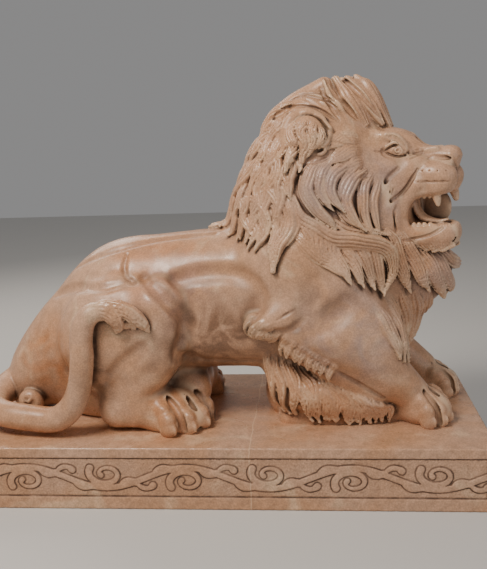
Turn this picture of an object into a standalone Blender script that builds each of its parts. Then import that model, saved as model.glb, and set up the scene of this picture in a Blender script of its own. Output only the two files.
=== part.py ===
"""A marble lion lying on its plinth with its head up and its mouth open, carved from one block.

The lion is shaped as clay would be: masses and limbs are pressed together in a field of
distances, the hair is laid over them as locks, and the skin of that field is the solid.
+X is the way the lion lies, +Z is up, and the origin is the middle of the plinth's underside.
"""

import math

import bmesh
import bpy
import numpy as np

# Driving dimensions, in metres
LION_HEIGHT = 0.988
PLINTH_LENGTH = 1.500
PLINTH_DEPTH = 0.640
PLINTH_HEIGHT = 0.180

# The frieze round the plinth, in metres
BORDER_TOP = 0.030
BORDER_BOTTOM = 0.038
BORDER_END = 0.026
PANEL_SINK = 0.004
RELIEF_HEIGHT = 0.0032
RELIEF_ROOT = 0.002
SCROLL_PITCH = 0.450
SCROLL_SWING = 0.030
STEM_WIDTH = 0.017
SCROLL_START = -0.082
VOLUTE_SIZE = 0.030
VOLUTE_STRETCH = 1.35
VOLUTE_DROP = 0.012
VOLUTE_REACH = 0.060
LEAF_LENGTH = 0.056
LEAF_WIDTH = 0.020
STEM_PIECES = 11
VOLUTE_PIECES = 12
LEAF_PIECES = 4
# Along the stem from the middle of a bend, in pitches; the side it grows to; and the way it bends
LEAVES = ((-0.17, 1, 1), (0.13, -1, -1), (0.20, 1, -1))

# How finely the lion is cut: the clay's grid, and the triangles that are kept of its skin
CARVING_STEP = 9.0
LION_TRIANGLES = 7200

# The lion is drawn in parts of its own height: 988 of them from the plinth's top to the crest
DRAWN_HEIGHT = 988.0
UNIT = LION_HEIGHT / DRAWN_HEIGHT
SINK = 14.0
FAR = 1000.0
MIDDLE = 10.0
NEAR, OPPOSITE = -1, 1
SIDES = (NEAR, OPPOSITE)


# Forms in the clay


def turned(yaw=0.0, pitch=0.0):
    """The turn about Z by yaw after the tilt that lifts +X by pitch, in degrees."""
    y, p = math.radians(yaw), math.radians(pitch)
    about_z = np.array([[math.cos(y), -math.sin(y), 0], [math.sin(y), math.cos(y), 0], [0, 0, 1]])
    about_y = np.array([[math.cos(p), 0, -math.sin(p)], [0, 1, 0], [math.sin(p), 0, math.cos(p)]])
    return about_z @ about_y


class Frame:
    """A frame of its own for the head or a paw: x forward, y to the lion's left, z up."""

    def __init__(self, origin, yaw=0.0):
        self.origin = np.array(origin, float)
        self.turn = turned(yaw)

    def point(self, at):
        return self.origin + self.turn @ np.array(at, float)


class Mass:
    """An ellipsoid of muscle or bone."""

    def __init__(self, centre, radii, yaw=0.0, pitch=0.0):
        self.centre = np.array(centre, float)
        self.radii = np.array(radii, float)
        self.turn = turned(yaw, pitch)

    def placed(self, frame):
        self.centre = frame.point(self.centre)
        self.turn = frame.turn @ self.turn
        return self

    def reach(self):
        half = np.sqrt(((self.turn * self.radii) ** 2).sum(1))
        return self.centre - half, self.centre + half

    def distance(self, x, y, z):
        x, y, z = x - self.centre[0], y - self.centre[1], z - self.centre[2]
        near, steep = 0.0, 0.0
        for axis, radius in zip(self.turn.T, self.radii):
            along = (x * axis[0] + y * axis[1] + z * axis[2]) / radius
            near = near + along * along
            steep = steep + (along / radius) ** 2
        near = np.sqrt(near)
        return near * (near - 1.0) / np.sqrt(steep + 1e-12)


def smooth_path(rows, pieces):
    """A smooth curve through rows of values, with so many pieces between each two rows."""
    rows = np.array(rows, float)
    ends = np.vstack([2 * rows[0] - rows[1], rows, 2 * rows[-1] - rows[-2]])
    out = []
    for a, b, c, d in zip(ends[:-3], ends[1:-2], ends[2:-1], ends[3:]):
        for t in np.arange(pieces) / pieces:
            curve = 2 * b + (c - a) * t + (2 * a - 5 * b + 4 * c - d) * t * t
            out.append(0.5 * (curve + (3 * b - a - 3 * c + d) * t ** 3))
    out.append(rows[-1])
    return np.array(out)


class Limb:
    """A round sweep through rows of x, y, z and radius."""

    def __init__(self, rows, pieces=4):
        self.rows = smooth_path(rows, pieces)

    def placed(self, frame):
        self.rows[:, :3] = [frame.point(row) for row in self.rows[:, :3]]
        return self

    def reach(self):
        pad = self.rows[:, 3:4]
        return (self.rows[:, :3] - pad).min(0), (self.rows[:, :3] + pad).max(0)

    def distance(self, x, y, z):
        best = FAR
        for a, b in zip(self.rows[:-1], self.rows[1:]):
            run = b[:3] - a[:3]
            px, py, pz = x - a[0], y - a[1], z - a[2]
            t = np.clip((px * run[0] + py * run[1] + pz * run[2]) / (run @ run + 1e-9), 0, 1)
            gap = np.sqrt((px - t * run[0]) ** 2 + (py - t * run[1]) ** 2 + (pz - t * run[2]) ** 2)
            best = np.minimum(best, gap - (a[3] + t * (b[3] - a[3])))
        return best


class Lock:
    """A lock of hair: a flattened sweep that lies on a surface and ends in a point."""

    def __init__(self, points, normals, wide, thick):
        self.points, self.wide, self.thick = points, wide, thick
        along = np.gradient(points, axis=0)
        along /= np.linalg.norm(along, axis=1)[:, None] + 1e-9
        up = normals - (normals * along).sum(1)[:, None] * along
        self.up = up / (np.linalg.norm(up, axis=1)[:, None] + 1e-9)
        self.across = np.cross(along, self.up)

    def reach(self):
        pad = np.maximum(self.wide, self.thick)[:, None]
        return (self.points - pad).min(0), (self.points + pad).max(0)

    def distance(self, x, y, z):
        shape = np.broadcast_shapes(x.shape, y.shape, z.shape)
        best, where = np.full(shape, FAR * FAR), np.zeros(shape)
        for i, (a, b) in enumerate(zip(self.points[:-1], self.points[1:])):
            run = b - a
            px, py, pz = x - a[0], y - a[1], z - a[2]
            t = np.clip((px * run[0] + py * run[1] + pz * run[2]) / (run @ run + 1e-9), 0, 1)
            gap = (px - t * run[0]) ** 2 + (py - t * run[1]) ** 2 + (pz - t * run[2]) ** 2
            closer = gap < best
            best, where = np.where(closer, gap, best), np.where(closer, i + t, where)
        out = np.full(shape, FAR)
        near = best < (1.6 * self.wide.max() + 14) ** 2
        steps, share = np.arange(len(self.points)), where[near]

        def here(rows):
            return np.stack([np.interp(share, steps, rows[:, i]) for i in range(3)], -1)

        off = np.stack([np.broadcast_to(v, shape)[near] for v in (x, y, z)], -1) - here(self.points)
        wide, thick = np.interp(share, steps, self.wide), np.interp(share, steps, self.thick)
        side, lift = (off * here(self.across)).sum(-1), (off * here(self.up)).sum(-1)
        past = np.maximum((off ** 2).sum(-1) - side ** 2 - lift ** 2, 0)
        length = np.sqrt((off ** 2).sum(-1))
        scale = np.sqrt((side / wide) ** 2 + (lift / thick) ** 2 + past / thick ** 2) + 1e-6
        out[near] = np.where(length < 1e-6, -thick, length * (1 - 1 / scale))
        return out


class Clay:
    """A block of distances on a grid, below zero inside the lion."""

    def __init__(self, low, high, step):
        self.step = float(step)
        self.low = np.array(low, float)
        self.count = np.ceil((np.array(high) - self.low) / step).astype(int) + 1
        self.field = np.full(self.count, FAR, np.float32)

    def _meet(self, form, blend):
        """The part of the grid that a form reaches, its present values and the form's own."""
        low, high = form.reach()
        pad = blend + 3 * self.step
        first = np.clip(np.floor((low - pad - self.low) / self.step).astype(int), 0, self.count - 2)
        last = np.clip(np.ceil((high + pad - self.low) / self.step).astype(int) + 1, first + 1, self.count)
        spans = tuple(slice(a, b) for a, b in zip(first, last))
        lines = [self.low[i] + self.step * np.arange(first[i], last[i]) for i in range(3)]
        at = (lines[0][:, None, None], lines[1][None, :, None], lines[2][None, None, :])
        return spans, self.field[spans], form.distance(*at)

    def add(self, form, blend):
        spans, old, new = self._meet(form, blend)
        mix = np.maximum(blend - np.abs(old - new), 0)
        self.field[spans] = np.minimum(old, new) - mix * mix / (4 * blend)

    def carve(self, form, blend):
        spans, old, new = self._meet(form, blend)
        mix = np.maximum(blend - np.abs(old + new), 0)
        self.field[spans] = np.maximum(old, -new) + mix * mix / (4 * blend)

    def read(self, points):
        """The distance at points between the grid's own."""
        at = (points - self.low) / self.step
        cell = np.clip(np.floor(at).astype(int), 0, self.count - 2)
        t = np.clip(at - cell, 0, 1)
        out = 0.0
        for corner in np.ndindex(2, 2, 2):
            weight = np.abs(1 - np.array(corner) - t).prod(1)
            out = out + weight * self.field[tuple((cell + corner).T)]
        return out

    def slope(self, points):
        """The outward normals at points."""
        steps = np.eye(3) * self.step
        rise = np.stack([self.read(points + d) - self.read(points - d) for d in steps], -1)
        return rise / (np.linalg.norm(rise, axis=-1)[:, None] + 1e-9)

    def settle(self, points, times=3):
        """The points moved onto the surface beside them."""
        for _ in range(times):
            points = points - self.slope(points) * np.clip(self.read(points), -30, 30)[:, None]
        return points

    def fill_pinches(self):
        """Fills the places where the clay touches itself only along an edge or at a corner of the grid."""
        spans = [(slice(0, -1), slice(1, None)) for _ in range(3)]
        while True:
            inside = self.field < 0
            fill = np.zeros_like(inside)
            for axis in range(3):
                u, v = (axis + 1) % 3, (axis + 2) % 3
                views = {}
                for a, b in np.ndindex(2, 2):
                    view = [slice(None)] * 3
                    view[u], view[v] = spans[u][a], spans[v][b]
                    views[a, b] = tuple(view)
                for a, b in ((0, 0), (0, 1)):
                    first, second = views[a, b], views[1 - a, 1 - b]
                    third, fourth = views[a, 1 - b], views[1 - a, b]
                    crossed = inside[first] & inside[second] & ~inside[third] & ~inside[fourth]
                    fill[third] |= crossed
            for corner in ((0, 0, 0), (0, 0, 1), (0, 1, 0), (1, 0, 0)):
                here = tuple(spans[i][c] for i, c in enumerate(corner))
                there = tuple(spans[i][1 - c] for i, c in enumerate(corner))
                beside = tuple(spans[i][1 - c if i == 0 else c] for i, c in enumerate(corner))
                held = sum(inside[tuple(spans[i][c] for i, c in enumerate(k))].astype(np.int8)
                           for k in np.ndindex(2, 2, 2))
                fill[beside] |= inside[here] & inside[there] & (held == 2)
                fill[here] |= ~inside[here] & ~inside[there] & (held == 6)
            fill &= ~inside
            if not fill.any():
                return
            self.field[fill] = -0.2 * self.step

    def skin(self):
        """The surface as points and four-sided faces, one point in each cell that it crosses."""
        self.fill_pinches()
        inside = self.field < 0
        corners = list(np.ndindex(2, 2, 2))
        cut = [inside[tuple(slice(c, c + n - 1) for c, n in zip(corner, inside.shape))] for corner in corners]
        crossed = np.logical_or.reduce(cut) & ~np.logical_and.reduce(cut)
        cells = np.argwhere(crossed)
        index = np.full(crossed.shape, -1, np.int32)
        index[crossed] = np.arange(len(cells))
        value = {c: self.field[tuple((cells + c).T)].astype(float) for c in corners}
        total, count = np.zeros((len(cells), 3)), np.zeros(len(cells))
        for a in corners:
            for axis in range(3):
                if a[axis]:
                    continue
                b = tuple(1 if i == axis else a[i] for i in range(3))
                cross = (value[a] < 0) != (value[b] < 0)
                spot = np.tile(np.array(a, float), (cross.sum(), 1))
                spot[:, axis] = value[a][cross] / (value[a][cross] - value[b][cross])
                total[cross] += spot
                count[cross] += 1
        points = self.low + self.step * (cells + total / count[:, None])
        faces = []
        for axis in range(3):
            u, v = (axis + 1) % 3, (axis + 2) % 3
            here = tuple(slice(0, -1) if i == axis else slice(None) for i in range(3))
            ahead = tuple(slice(1, None) if i == axis else slice(None) for i in range(3))
            edges = np.argwhere(inside[here] != inside[ahead])
            inner = (edges[:, [u, v]] > 0).all(1) & (edges[:, [u, v]] < self.count[[u, v]] - 1).all(1)
            edges = edges[inner]
            ring = []
            for du, dv in ((1, 1), (0, 1), (0, 0), (1, 0)):
                cell = edges.copy()
                cell[:, u] -= du
                cell[:, v] -= dv
                ring.append(index[tuple(cell.T)])
            ring = np.stack(ring, -1)
            leaving = inside[tuple(edges.T)]
            ring[~leaving] = ring[~leaving][:, ::-1]
            faces.append(ring)
        return points, np.vstack(faces)


# Hair


class Row:
    """A row of locks between two places on the side of the lion, given as x and z.

    Each pair holds the values of the row's first and last lock. A heading is in degrees from
    forward towards up, turn is how much it has changed at the tip, and sway is an S along it.
    """

    def __init__(self, first, last, count, heading, length, wide, turn=(0, 0), sway=0.0, thick=14.0, lift=9.0,
                 out=0.0, sides=SIDES):
        self.ends = np.array([first, last], float)
        self.count, self.heading, self.length, self.turn = count, heading, length, turn
        self.wide, self.sway, self.thick, self.lift, self.out, self.sides = wide, sway, thick, lift, out, sides

    def laid(self, base, side, seed):
        """The row's locks on one side of a base, each as the form to add."""
        chance = np.random.default_rng(seed)
        share = np.linspace(0, 1, self.count)

        def spread(pair):
            return pair[0] + (pair[1] - pair[0]) * share

        vary = chance.uniform(-1, 1, (4, self.count))
        start = np.stack([spread(self.ends[:, 0]), np.full(self.count, MIDDLE + side * (230 + self.out)),
                          spread(self.ends[:, 1])], -1)
        at = pressed(base, start, side)
        heading, turn = spread(self.heading) + 5 * vary[0], spread(self.turn) + 6 * vary[1]
        stride = spread(self.length) * (1 + 0.07 * vary[2]) / STRIDES
        points, normals = [at], [base.slope(at)]
        for i in range(STRIDES):
            t = (i + 0.5) / STRIDES
            angle = np.radians(heading + turn * t + self.sway * np.sin(2 * math.pi * t))
            way = np.stack([np.cos(angle), 0 * angle, np.sin(angle)], -1)
            up = normals[-1]
            way = way - up * (way * up).sum(1)[:, None]
            way /= np.linalg.norm(way, axis=1)[:, None] + 1e-9
            at = base.settle(at + way * stride[:, None], 2)
            points.append(at)
            normals.append(base.slope(at))
        points, normals = np.stack(points, 1), np.stack(normals, 1)
        wide = self.wide * (1 + 0.12 * vary[3])
        return [lock_on(points[i], normals[i], wide[i], self.thick, self.lift) for i in range(self.count)]


STRIDES = 10


def pressed(base, start, side):
    """The places where points beside the lion first meet it when they are moved in towards its middle."""
    at = start.copy()
    for _ in range(60):
        gap = base.read(at)
        open_air = gap > 1
        if not open_air.any():
            break
        at[open_air, 1] -= side * np.clip(gap[open_air], 2, 20) * (side * (at[open_air, 1] - MIDDLE) > 4)
    return base.settle(at, 4)


def lock_on(points, normals, wide, thick, lift):
    """A lock along points of a surface: narrow at its root, full in the middle, with a raised pointed tip."""
    s = np.linspace(0, 1, len(points))
    taper = np.minimum(1, 0.5 + 2.4 * s) * np.clip(1.03 - s ** 3.6, 0.06, 1)
    rise = lift * s ** 1.4 + 0.22 * thick - 8 * (1 - s) ** 4
    return Lock(points + normals * rise[:, None], normals, wide * taper + 1.5, thick * (0.35 + 0.65 * taper))


def lock_through(base, places, side, wide, thick, lift):
    """A lock that passes places on the side of a base, given as x and z."""
    line = smooth_path(places, 3)
    start = np.stack([line[:, 0], np.full(len(line), MIDDLE + side * 240), line[:, 1]], -1)
    points = pressed(base, start, side)
    return lock_on(points, base.slope(points), wide, thick, lift)


SWOOP = ((213, 668), (228, 618), (262, 574), (318, 546), (384, 532), (444, 530), (482, 494), (488, 440), (455, 378))
SIDE_LOCK = ((190, 668), (199, 612), (182, 560), (164, 505), (166, 450))
LOWER_BAND = ((226, 560), (276, 512), (326, 472), (372, 448), (420, 440))

MANE_ROWS = (
    Row((20, 640), (170, 640), 5, (248, 262), (110, 135), 21, turn=(25, 20), sway=25),
    Row((70, 610), (165, 600), 4, (262, 275), (95, 120), 19, turn=(10, -15), sway=30),
    Row((45, 700), (175, 700), 4, (240, 262), (120, 130), 25, turn=(25, 10), sway=18),
    Row((90, 775), (215, 770), 4, (238, 262), (120, 130), 26, turn=(25, 8), sway=14),
    Row((135, 835), (245, 850), 3, (232, 250), (125, 125), 27, turn=(28, 12), sway=12),
    Row((262, 560), (420, 520), 6, (303, 292), (120, 112), 22, turn=(-28, -34), sway=-10, lift=14),
    Row((236, 620), (345, 545), 4, (292, 330), (110, 100), 20, turn=(40, 15), lift=10),
    Row((255, 770), (285, 750), 2, (258, 255), (190, 180), 26, turn=(38, 52), sway=10, lift=14),
    Row((320, 748), (425, 715), 5, (228, 258), (178, 165), 25, turn=(78, 42), sway=6, thick=17, lift=10),
    Row((395, 660), (440, 640), 3, (262, 272), (120, 125), 20, turn=(24, 14), lift=8),
    Row((455, 590), (505, 560), 2, (282, 288), (190, 200), 27, turn=(-8, -4), lift=14),
)

BEARD_ROWS = (
    Row((470, 400), (610, 372), 5, (262, 250), (150, 120), 24, turn=(12, -14), lift=4, out=-60),
    Row((510, 510), (640, 470), 5, (290, 300), (150, 120), 27, turn=(-4, 6), thick=17, lift=24, out=-40),
    Row((520, 560), (660, 520), 5, (288, 306), (130, 110), 26, turn=(2, 10), thick=16, lift=22, out=-60),
)

CREST_ROWS = (
    Row((300, 872), (310, 905), 2, (186, 172), (130, 120), 30, turn=(16, 8), lift=14, out=-80),
    Row((372, 855), (480, 835), 4, (136, 118), (150, 150), 30, turn=(6, 2), thick=22, lift=3, out=-130),
)

FRINGE_ROWS = (
    Row((96, 318), (300, 178), 15, (262, 285), (44, 38), 9, turn=(40, 30), thick=9, lift=9),
    Row((300, 178), (352, 148), 4, (290, 300), (34, 26), 8, turn=(20, 20), thick=8, lift=6),
)

GROUND_ROWS = (
    Row((165, 190), (300, 120), 5, (262, 285), (135, 84), 20, turn=(40, 10), sway=16, thick=12, lift=5),
    Row((215, 165), (410, 80), 7, (275, 295), (110, 44), 15, turn=(30, 0), sway=14, thick=11, lift=6),
)


def lay_rows(clay, rows, base, blend, seed):
    """The locks of some rows, pressed onto the clay over the base that they follow."""
    for number, row in enumerate(rows):
        for side in row.sides:
            for lock in row.laid(base, side, seed + number):
                clay.add(lock, blend)


# The lion


def body(clay):
    """The trunk from the rump to the chest, with the belly nearly on the plinth."""
    mid = MIDDLE
    rump = [(-290, mid, 345, 158), (-430, mid, 250, 146), (-545, mid, 150, 118), (-608, mid, 85, 88)]
    clay.add(Limb(rump), 50)
    clay.add(Mass((-190, mid, 370), (270, 150, 170), pitch=3), 70)
    clay.add(Mass((60, mid, 372), (290, 172, 190), pitch=6), 80)
    clay.add(Mass((230, mid, 420), (200, 165, 180), pitch=10), 70)
    clay.add(Mass((330, mid, 240), (200, 125, 210)), 60)
    clay.add(Mass((430, mid, 320), (150, 115, 160)), 60)
    clay.add(Mass((270, mid, 60), (150, 125, 130)), 50)
    clay.add(Mass((-300, mid, 90), (260, 150, 130)), 50)
    for side in SIDES:
        flank = [(-260, mid + side * 55, 250, 95), (0, mid + side * 68, 246, 88), (260, mid + side * 60, 240, 90)]
        clay.add(Limb(flank), 70)
        spine = [(-500, mid + side * 42, 372, 5), (-380, mid + side * 46, 490, 6), (-200, mid + side * 44, 545, 6),
                 (-20, mid + side * 40, 572, 5)]
        clay.carve(Limb(spine), 16)


def tunnel(clay):
    """The gap right through under the belly, between the hind paw and the hair under the forearm."""
    for x, z, radius in ((20, 66, 40), (60, 92, 52)):
        clay.carve(Limb([(x, -400, z, radius), (x, 420, z, radius)], 1), 20)


def hind_leg(clay, side):
    """A folded hind leg: the thigh over the shank, and the paw turned out."""
    def y(out):
        return MIDDLE + side * out
    clay.add(Mass((-285, y(135), 262), (188, 108, 182), pitch=24), 22)
    clay.add(Mass((-178, y(172), 322), (84, 74, 118), pitch=-14), 35)
    clay.add(Limb([(-150, y(178), 250, 62), (-205, y(180), 165, 56), (-290, y(180), 95, 50)]), 30)
    clay.add(Limb([(-300, y(180), 60, 56), (-200, y(170), 66, 66), (-130, y(158), 66, 62)]), 30)
    clay.carve(Limb([(-120, y(262), 250, 22), (-190, y(268), 160, 26), (-300, y(262), 120, 20)]), 40)
    clay.carve(Limb([(-420, y(150), 425, 7), (-330, y(150), 455, 8), (-230, y(140), 462, 7)]), 22)
    clay.add(Mass((-60, y(90), 60), (70, 60, 60)), 30)
    paw(clay, (-150, y(138), 0), side * 38, 1.36)


def paw(clay, heel, yaw, size):
    """A broad paw of four toes that stands on the plinth, seen by its heel, its way and its size."""
    frame = Frame(heel, yaw)
    clay.add(Mass((0, 0, 40), (84 * size, 66 * size, 54 * size)).placed(frame), 25)
    for across, ahead in ((-58, 22), (-20, 48), (20, 48), (58, 22)):
        a, b = across * size, ahead * size
        toe = [(-16, a * 0.6, 66 * size, 19 * size), (b * 0.55, a * 0.94, 70 * size, 21 * size),
               (b + 20 * size, a * 1.06, 58 * size, 23 * size), (b + 36 * size, a * 1.1, 30 * size, 21 * size),
               (b + 34 * size, a * 1.1, 8 * size, 17 * size)]
        clay.add(Limb(toe).placed(frame), 5)


def foreleg(clay, side):
    """A foreleg from the shoulder down to the elbow and forward to the paw. The far one reaches further."""
    ahead = 0 if side == NEAR else 58
    def y(out):
        return MIDDLE + side * out
    clay.add(Mass((225, y(125), 420), (130, 90, 165), pitch=28), 50)
    clay.add(Mass((238, y(160), 470), (70, 52, 85), pitch=20), 35)
    clay.add(Limb([(330, y(150), 425, 56), (240, y(172), 368, 46), (160, y(186), 325, 40), (118, y(188), 312, 34)]), 26)
    clay.add(Limb([(180, y(165), 318, 55), (290, y(166), 285, 80), (390, y(155), 225, 80),
                   (480 + ahead * 0.6, y(138), 145, 66), (545 + ahead, y(120), 84, 52)]), 30)
    clay.add(Limb([(330, y(130), 400, 84), (400, y(138), 320, 78), (452, y(134), 235, 68)]), 50)
    clay.add(Limb([(215, y(165), 240, 34), (320, y(158), 172, 40), (430, y(140), 95, 42)]), 35)
    clay.carve(Limb([(300, y(250), 450, 20), (262, y(248), 400, 30), (238, y(262), 345, 22)]), 40)
    clay.carve(Limb([(372, y(232), 372, 20), (322, y(256), 338, 28), (268, y(268), 312, 20)]), 40)
    paw(clay, (580 + ahead, y(118), 0), side * 14 if side == NEAR else 4, 0.98)


def hair_under_forearm(clay, side):
    """The block of hair that fills the space between a forearm and the plinth."""
    def y(out):
        return MIDDLE + side * out
    clay.add(Limb([(170, y(110), 150, 46), (230, y(118), 84, 60), (320, y(118), 62, 58), (420, y(108), 40, 46)]), 30)


def tail(clay):
    """The tail, from behind the rump round on the near side, then up over the thigh to its tuft."""
    root = [(-600, MIDDLE, 110, 60), (-660, -20, 90, 50), (-690, -90, 72, 42), (-672, -165, 62, 38)]
    lying = [(-620, -205, 56, 38), (-540, -220, 50, 38), (-482, -228, 48, 37), (-446, -234, 60, 37)]
    rising = [(-410, -242, 95, 36), (-388, -247, 140, 34), (-376, -250, 190, 33), (-369, -252, 240, 33),
              (-368, -250, 290, 32), (-358, -246, 335, 31)]
    turning = [(-330, -240, 364, 30), (-292, -238, 368, 27), (-256, -240, 354, 22)]
    clay.add(Limb(root + lying + rising + turning, 3), 6)
    for out, tuft in ((0, [(-300, 366, 20), (-262, 356, 22), (-236, 330, 18), (-226, 306, 5)]),
                      (4, [(-290, 374, 18), (-240, 362, 20), (-196, 352, 18), (-160, 322, 14), (-148, 304, 5)]),
                      (-4, [(-250, 352, 20), (-210, 330, 20), (-190, 308, 6)])):
        clay.add(Limb([(x, -244 - out, z, radius) for x, z, radius in tuft]), 7)


def mane_base(clay):
    """The mass of the mane, which the locks are laid on."""
    clay.add(Mass((285, 5, 640), (212, 186, 282), pitch=-14), 50)
    clay.add(Mass((400, 0, 560), (190, 172, 220)), 50)
    clay.add(Mass((490, 0, 440), (150, 120, 140), pitch=-20), 50)
    clay.add(Mass((575, -10, 430), (95, 88, 110), pitch=-30), 40)
    clay.add(Mass((322, 0, 868), (128, 88, 92), pitch=12), 40)
    clay.add(Mass((396, -4, 884), (84, 70, 90)), 30)
    clay.add(Mass((180, 5, 595), (130, 140, 150), pitch=-30), 40)


HEAD = Frame((448, -10, 735), yaw=-26)


def head(clay):
    """The head, turned towards the near side, with its mouth wide open."""
    def put(form, blend):
        clay.add(form.placed(HEAD), blend)

    def cut(form, blend):
        clay.carve(form.placed(HEAD), blend)

    put(Mass((10, 0, 15), (118, 98, 90)), 30)
    put(Mass((70, 0, 42), (60, 56, 46)), 20)
    put(Limb([(85, 0, 38, 44), (150, 0, 15, 36), (205, 0, 12, 33), (222, 0, 10, 31)]), 22)
    put(Mass((226, 0, 22), (20, 33, 19)), 10)
    for s in SIDES:
        put(Mass((50, s * 76, -6), (38, 20, 18)), 22)
        put(Mass((15, s * 68, -70), (80, 44, 92)), 30)
        put(Mass((178, s * 35, -38), (66, 31, 46)), 16)
        put(Mass((222, s * 20, -36), (25, 25, 34)), 14)
        put(Limb([(30, s * 60, 74, 15), (68, s * 55, 65, 15), (92, s * 47, 48, 13), (112, s * 35, 22, 10)]), 10)
        put(Limb([(70, s * 52, -152, 30), (112, s * 50, -188, 22), (160, s * 38, -202, 22), (204, s * 22, -196, 24)]), 14)
    put(Mass((212, 0, -190), (34, 40, 30)), 14)
    cut(Mass((205, 0, -128), (88, 108, 43)), 8)
    put(Mass((150, 0, -172), (66, 34, 22)), 8)
    for s in SIDES:
        lips = [(226, s * 24, -68, 11), (200, s * 42, -72, 12), (165, s * 54, -78, 12), (128, s * 61, -88, 13),
                (113, s * 64, -112, 12), (113, s * 64, -148, 12), (122, s * 60, -178, 13), (150, s * 50, -188, 13),
                (190, s * 38, -182, 12), (218, s * 22, -172, 11)]
        put(Limb(lips), 12)
        put(Limb([(144, s * 52, 10, 13), (122, s * 62, -18, 20), (98, s * 70, -54, 21), (72, s * 78, -88, 12)]), 12)
        cut(Limb([(150, s * 68, -8, 4), (116, s * 84, -64, 7), (56, s * 94, -110, 6)]), 8)
        put(Limb([(196, s * 37, -80, 12), (200, s * 38, -100, 10), (204, s * 37, -118, 4)]), 3)
        put(Limb([(208, s * 24, -172, 10), (212, s * 25, -158, 7), (213, s * 25, -148, 4)]), 3)
        cut(Mass((94, s * 76, 33), (32, 13, 17), pitch=-20), 8)
        put(Mass((88, s * 60, 34), (24, 17, 17)), 3)
        cut(Limb([(236, s * 14, 6, 6), (228, s * 26, 10, 7), (208, s * 34, 15, 5)]), 5)
    cut(Limb([(250, 0, -6, 5), (248, 0, -62, 5)], 1), 6)


def ears(clay):
    """The ears: rounded, set in the mane behind the cheeks."""
    for side in SIDES:
        near = side == NEAR
        ear = Frame((262 + (0 if near else 40), MIDDLE + side * (150 if near else 128), 805), yaw=-20 * 1)
        rim = [(-36, 0, -62, 10), (-44, side * 10, -6, 16), (-18, side * 16, 38, 18), (20, side * 18, 44, 17),
               (48, side * 12, 16, 14), (44, side * 4, -18, 10)]
        clay.add(Mass((0, side * 2, 0), (44, 20, 56)).placed(ear), 14)
        clay.add(Limb(rim).placed(ear), 8)
        clay.carve(Mass((26, side * 22, -22), (16, 14, 24)).placed(ear), 8)


def carved_lion(step):
    """The whole lion in clay."""
    clay = Clay((-770, -330, -SINK - 2 * step), (770, 330, 1012), step)
    body(clay)
    for side in SIDES:
        hind_leg(clay, side)
        hair_under_forearm(clay, side)
        foreleg(clay, side)
    tunnel(clay)
    tail(clay)
    lay_rows(clay, GROUND_ROWS + FRINGE_ROWS, copied(clay), 5, 40)
    mane_base(clay)
    base = copied(clay)
    lay_rows(clay, BEARD_ROWS + MANE_ROWS, base, 6, 10)
    for side in SIDES:
        clay.add(lock_through(base, SIDE_LOCK, side, 28, 20, 16), 6)
        clay.add(lock_through(base, LOWER_BAND, side, 24, 18, 14), 6)
        clay.add(lock_through(base, SWOOP, side, 31, 26, 26), 6)
    ears(clay)
    head(clay)
    lay_rows(clay, CREST_ROWS, copied(clay), 6, 70)
    clay.field = np.maximum(clay.field, (-SINK - clay.low[2] - step * np.arange(clay.count[2])).astype(np.float32))
    return clay


def copied(clay):
    """The clay as it is now, for hair to follow."""
    other = Clay(clay.low, clay.low + clay.step, clay.step)
    other.count, other.field = clay.count, clay.field.copy()
    return other


def object_of(name, points, faces):
    """An object in the scene, with a mesh of points in metres and faces of equal size."""
    mesh = bpy.data.meshes.new(name)
    sides = faces.shape[1]
    mesh.vertices.add(len(points))
    mesh.vertices.foreach_set("co", points.astype(np.float32).ravel())
    mesh.loops.add(faces.size)
    mesh.loops.foreach_set("vertex_index", faces.astype(np.int32).ravel())
    mesh.polygons.add(len(faces))
    mesh.polygons.foreach_set("loop_start", np.arange(0, faces.size, sides, dtype=np.int32))
    mesh.update(calc_edges=True)
    made = bpy.data.objects.new(name, mesh)
    bpy.context.scene.collection.objects.link(made)
    return made


def face_outwards(thing):
    """Turns the faces of a closed mesh so that they point out of it."""
    work = bmesh.new()
    work.from_mesh(thing.data)
    bmesh.ops.recalc_face_normals(work, faces=work.faces)
    work.to_mesh(thing.data)
    work.free()


def keep_largest_shell(thing):
    """Deletes the closed pockets between locks and any crumb that floats free of the lion."""
    work = bmesh.new()
    work.from_mesh(thing.data)
    waiting, shells = set(work.verts), []
    while waiting:
        edge = [waiting.pop()]
        shell = list(edge)
        while edge:
            beside = {e.other_vert(v) for v in edge for e in v.link_edges} & waiting
            waiting -= beside
            edge = list(beside)
            shell += edge
        shells.append(shell)
    shells.sort(key=len)
    for crumb in shells[:-1]:
        bmesh.ops.delete(work, geom=crumb, context="VERTS")
    work.to_mesh(thing.data)
    work.free()


def lion():
    """The lion on its own, its feet a little below the plinth's top so that the two become one."""
    points, faces = carved_lion(CARVING_STEP).skin()
    made = object_of("lion", points * UNIT + (0, 0, PLINTH_HEIGHT), faces)
    keep_largest_shell(made)
    thinned = made.modifiers.new("thinned", "DECIMATE")
    thinned.ratio = LION_TRIANGLES / (2 * len(faces))
    settle_modifiers(made)
    return made


def settle_modifiers(thing):
    """The object's mesh, replaced by what its modifiers make of it."""
    bpy.context.view_layer.update()
    graph = bpy.context.evaluated_depsgraph_get()
    old, new = thing.data, bpy.data.meshes.new_from_object(thing.evaluated_get(graph))
    thing.modifiers.clear()
    thing.data = new
    bpy.data.meshes.remove(old)


def change(thing, other, operation):
    """Cuts another object from this one or joins it on, and removes the other."""
    step = thing.modifiers.new(operation.lower(), "BOOLEAN")
    step.operation, step.object, step.solver = operation, other, "EXACT"
    settle_modifiers(thing)
    bpy.data.objects.remove(other)


# The plinth and its frieze


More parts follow.
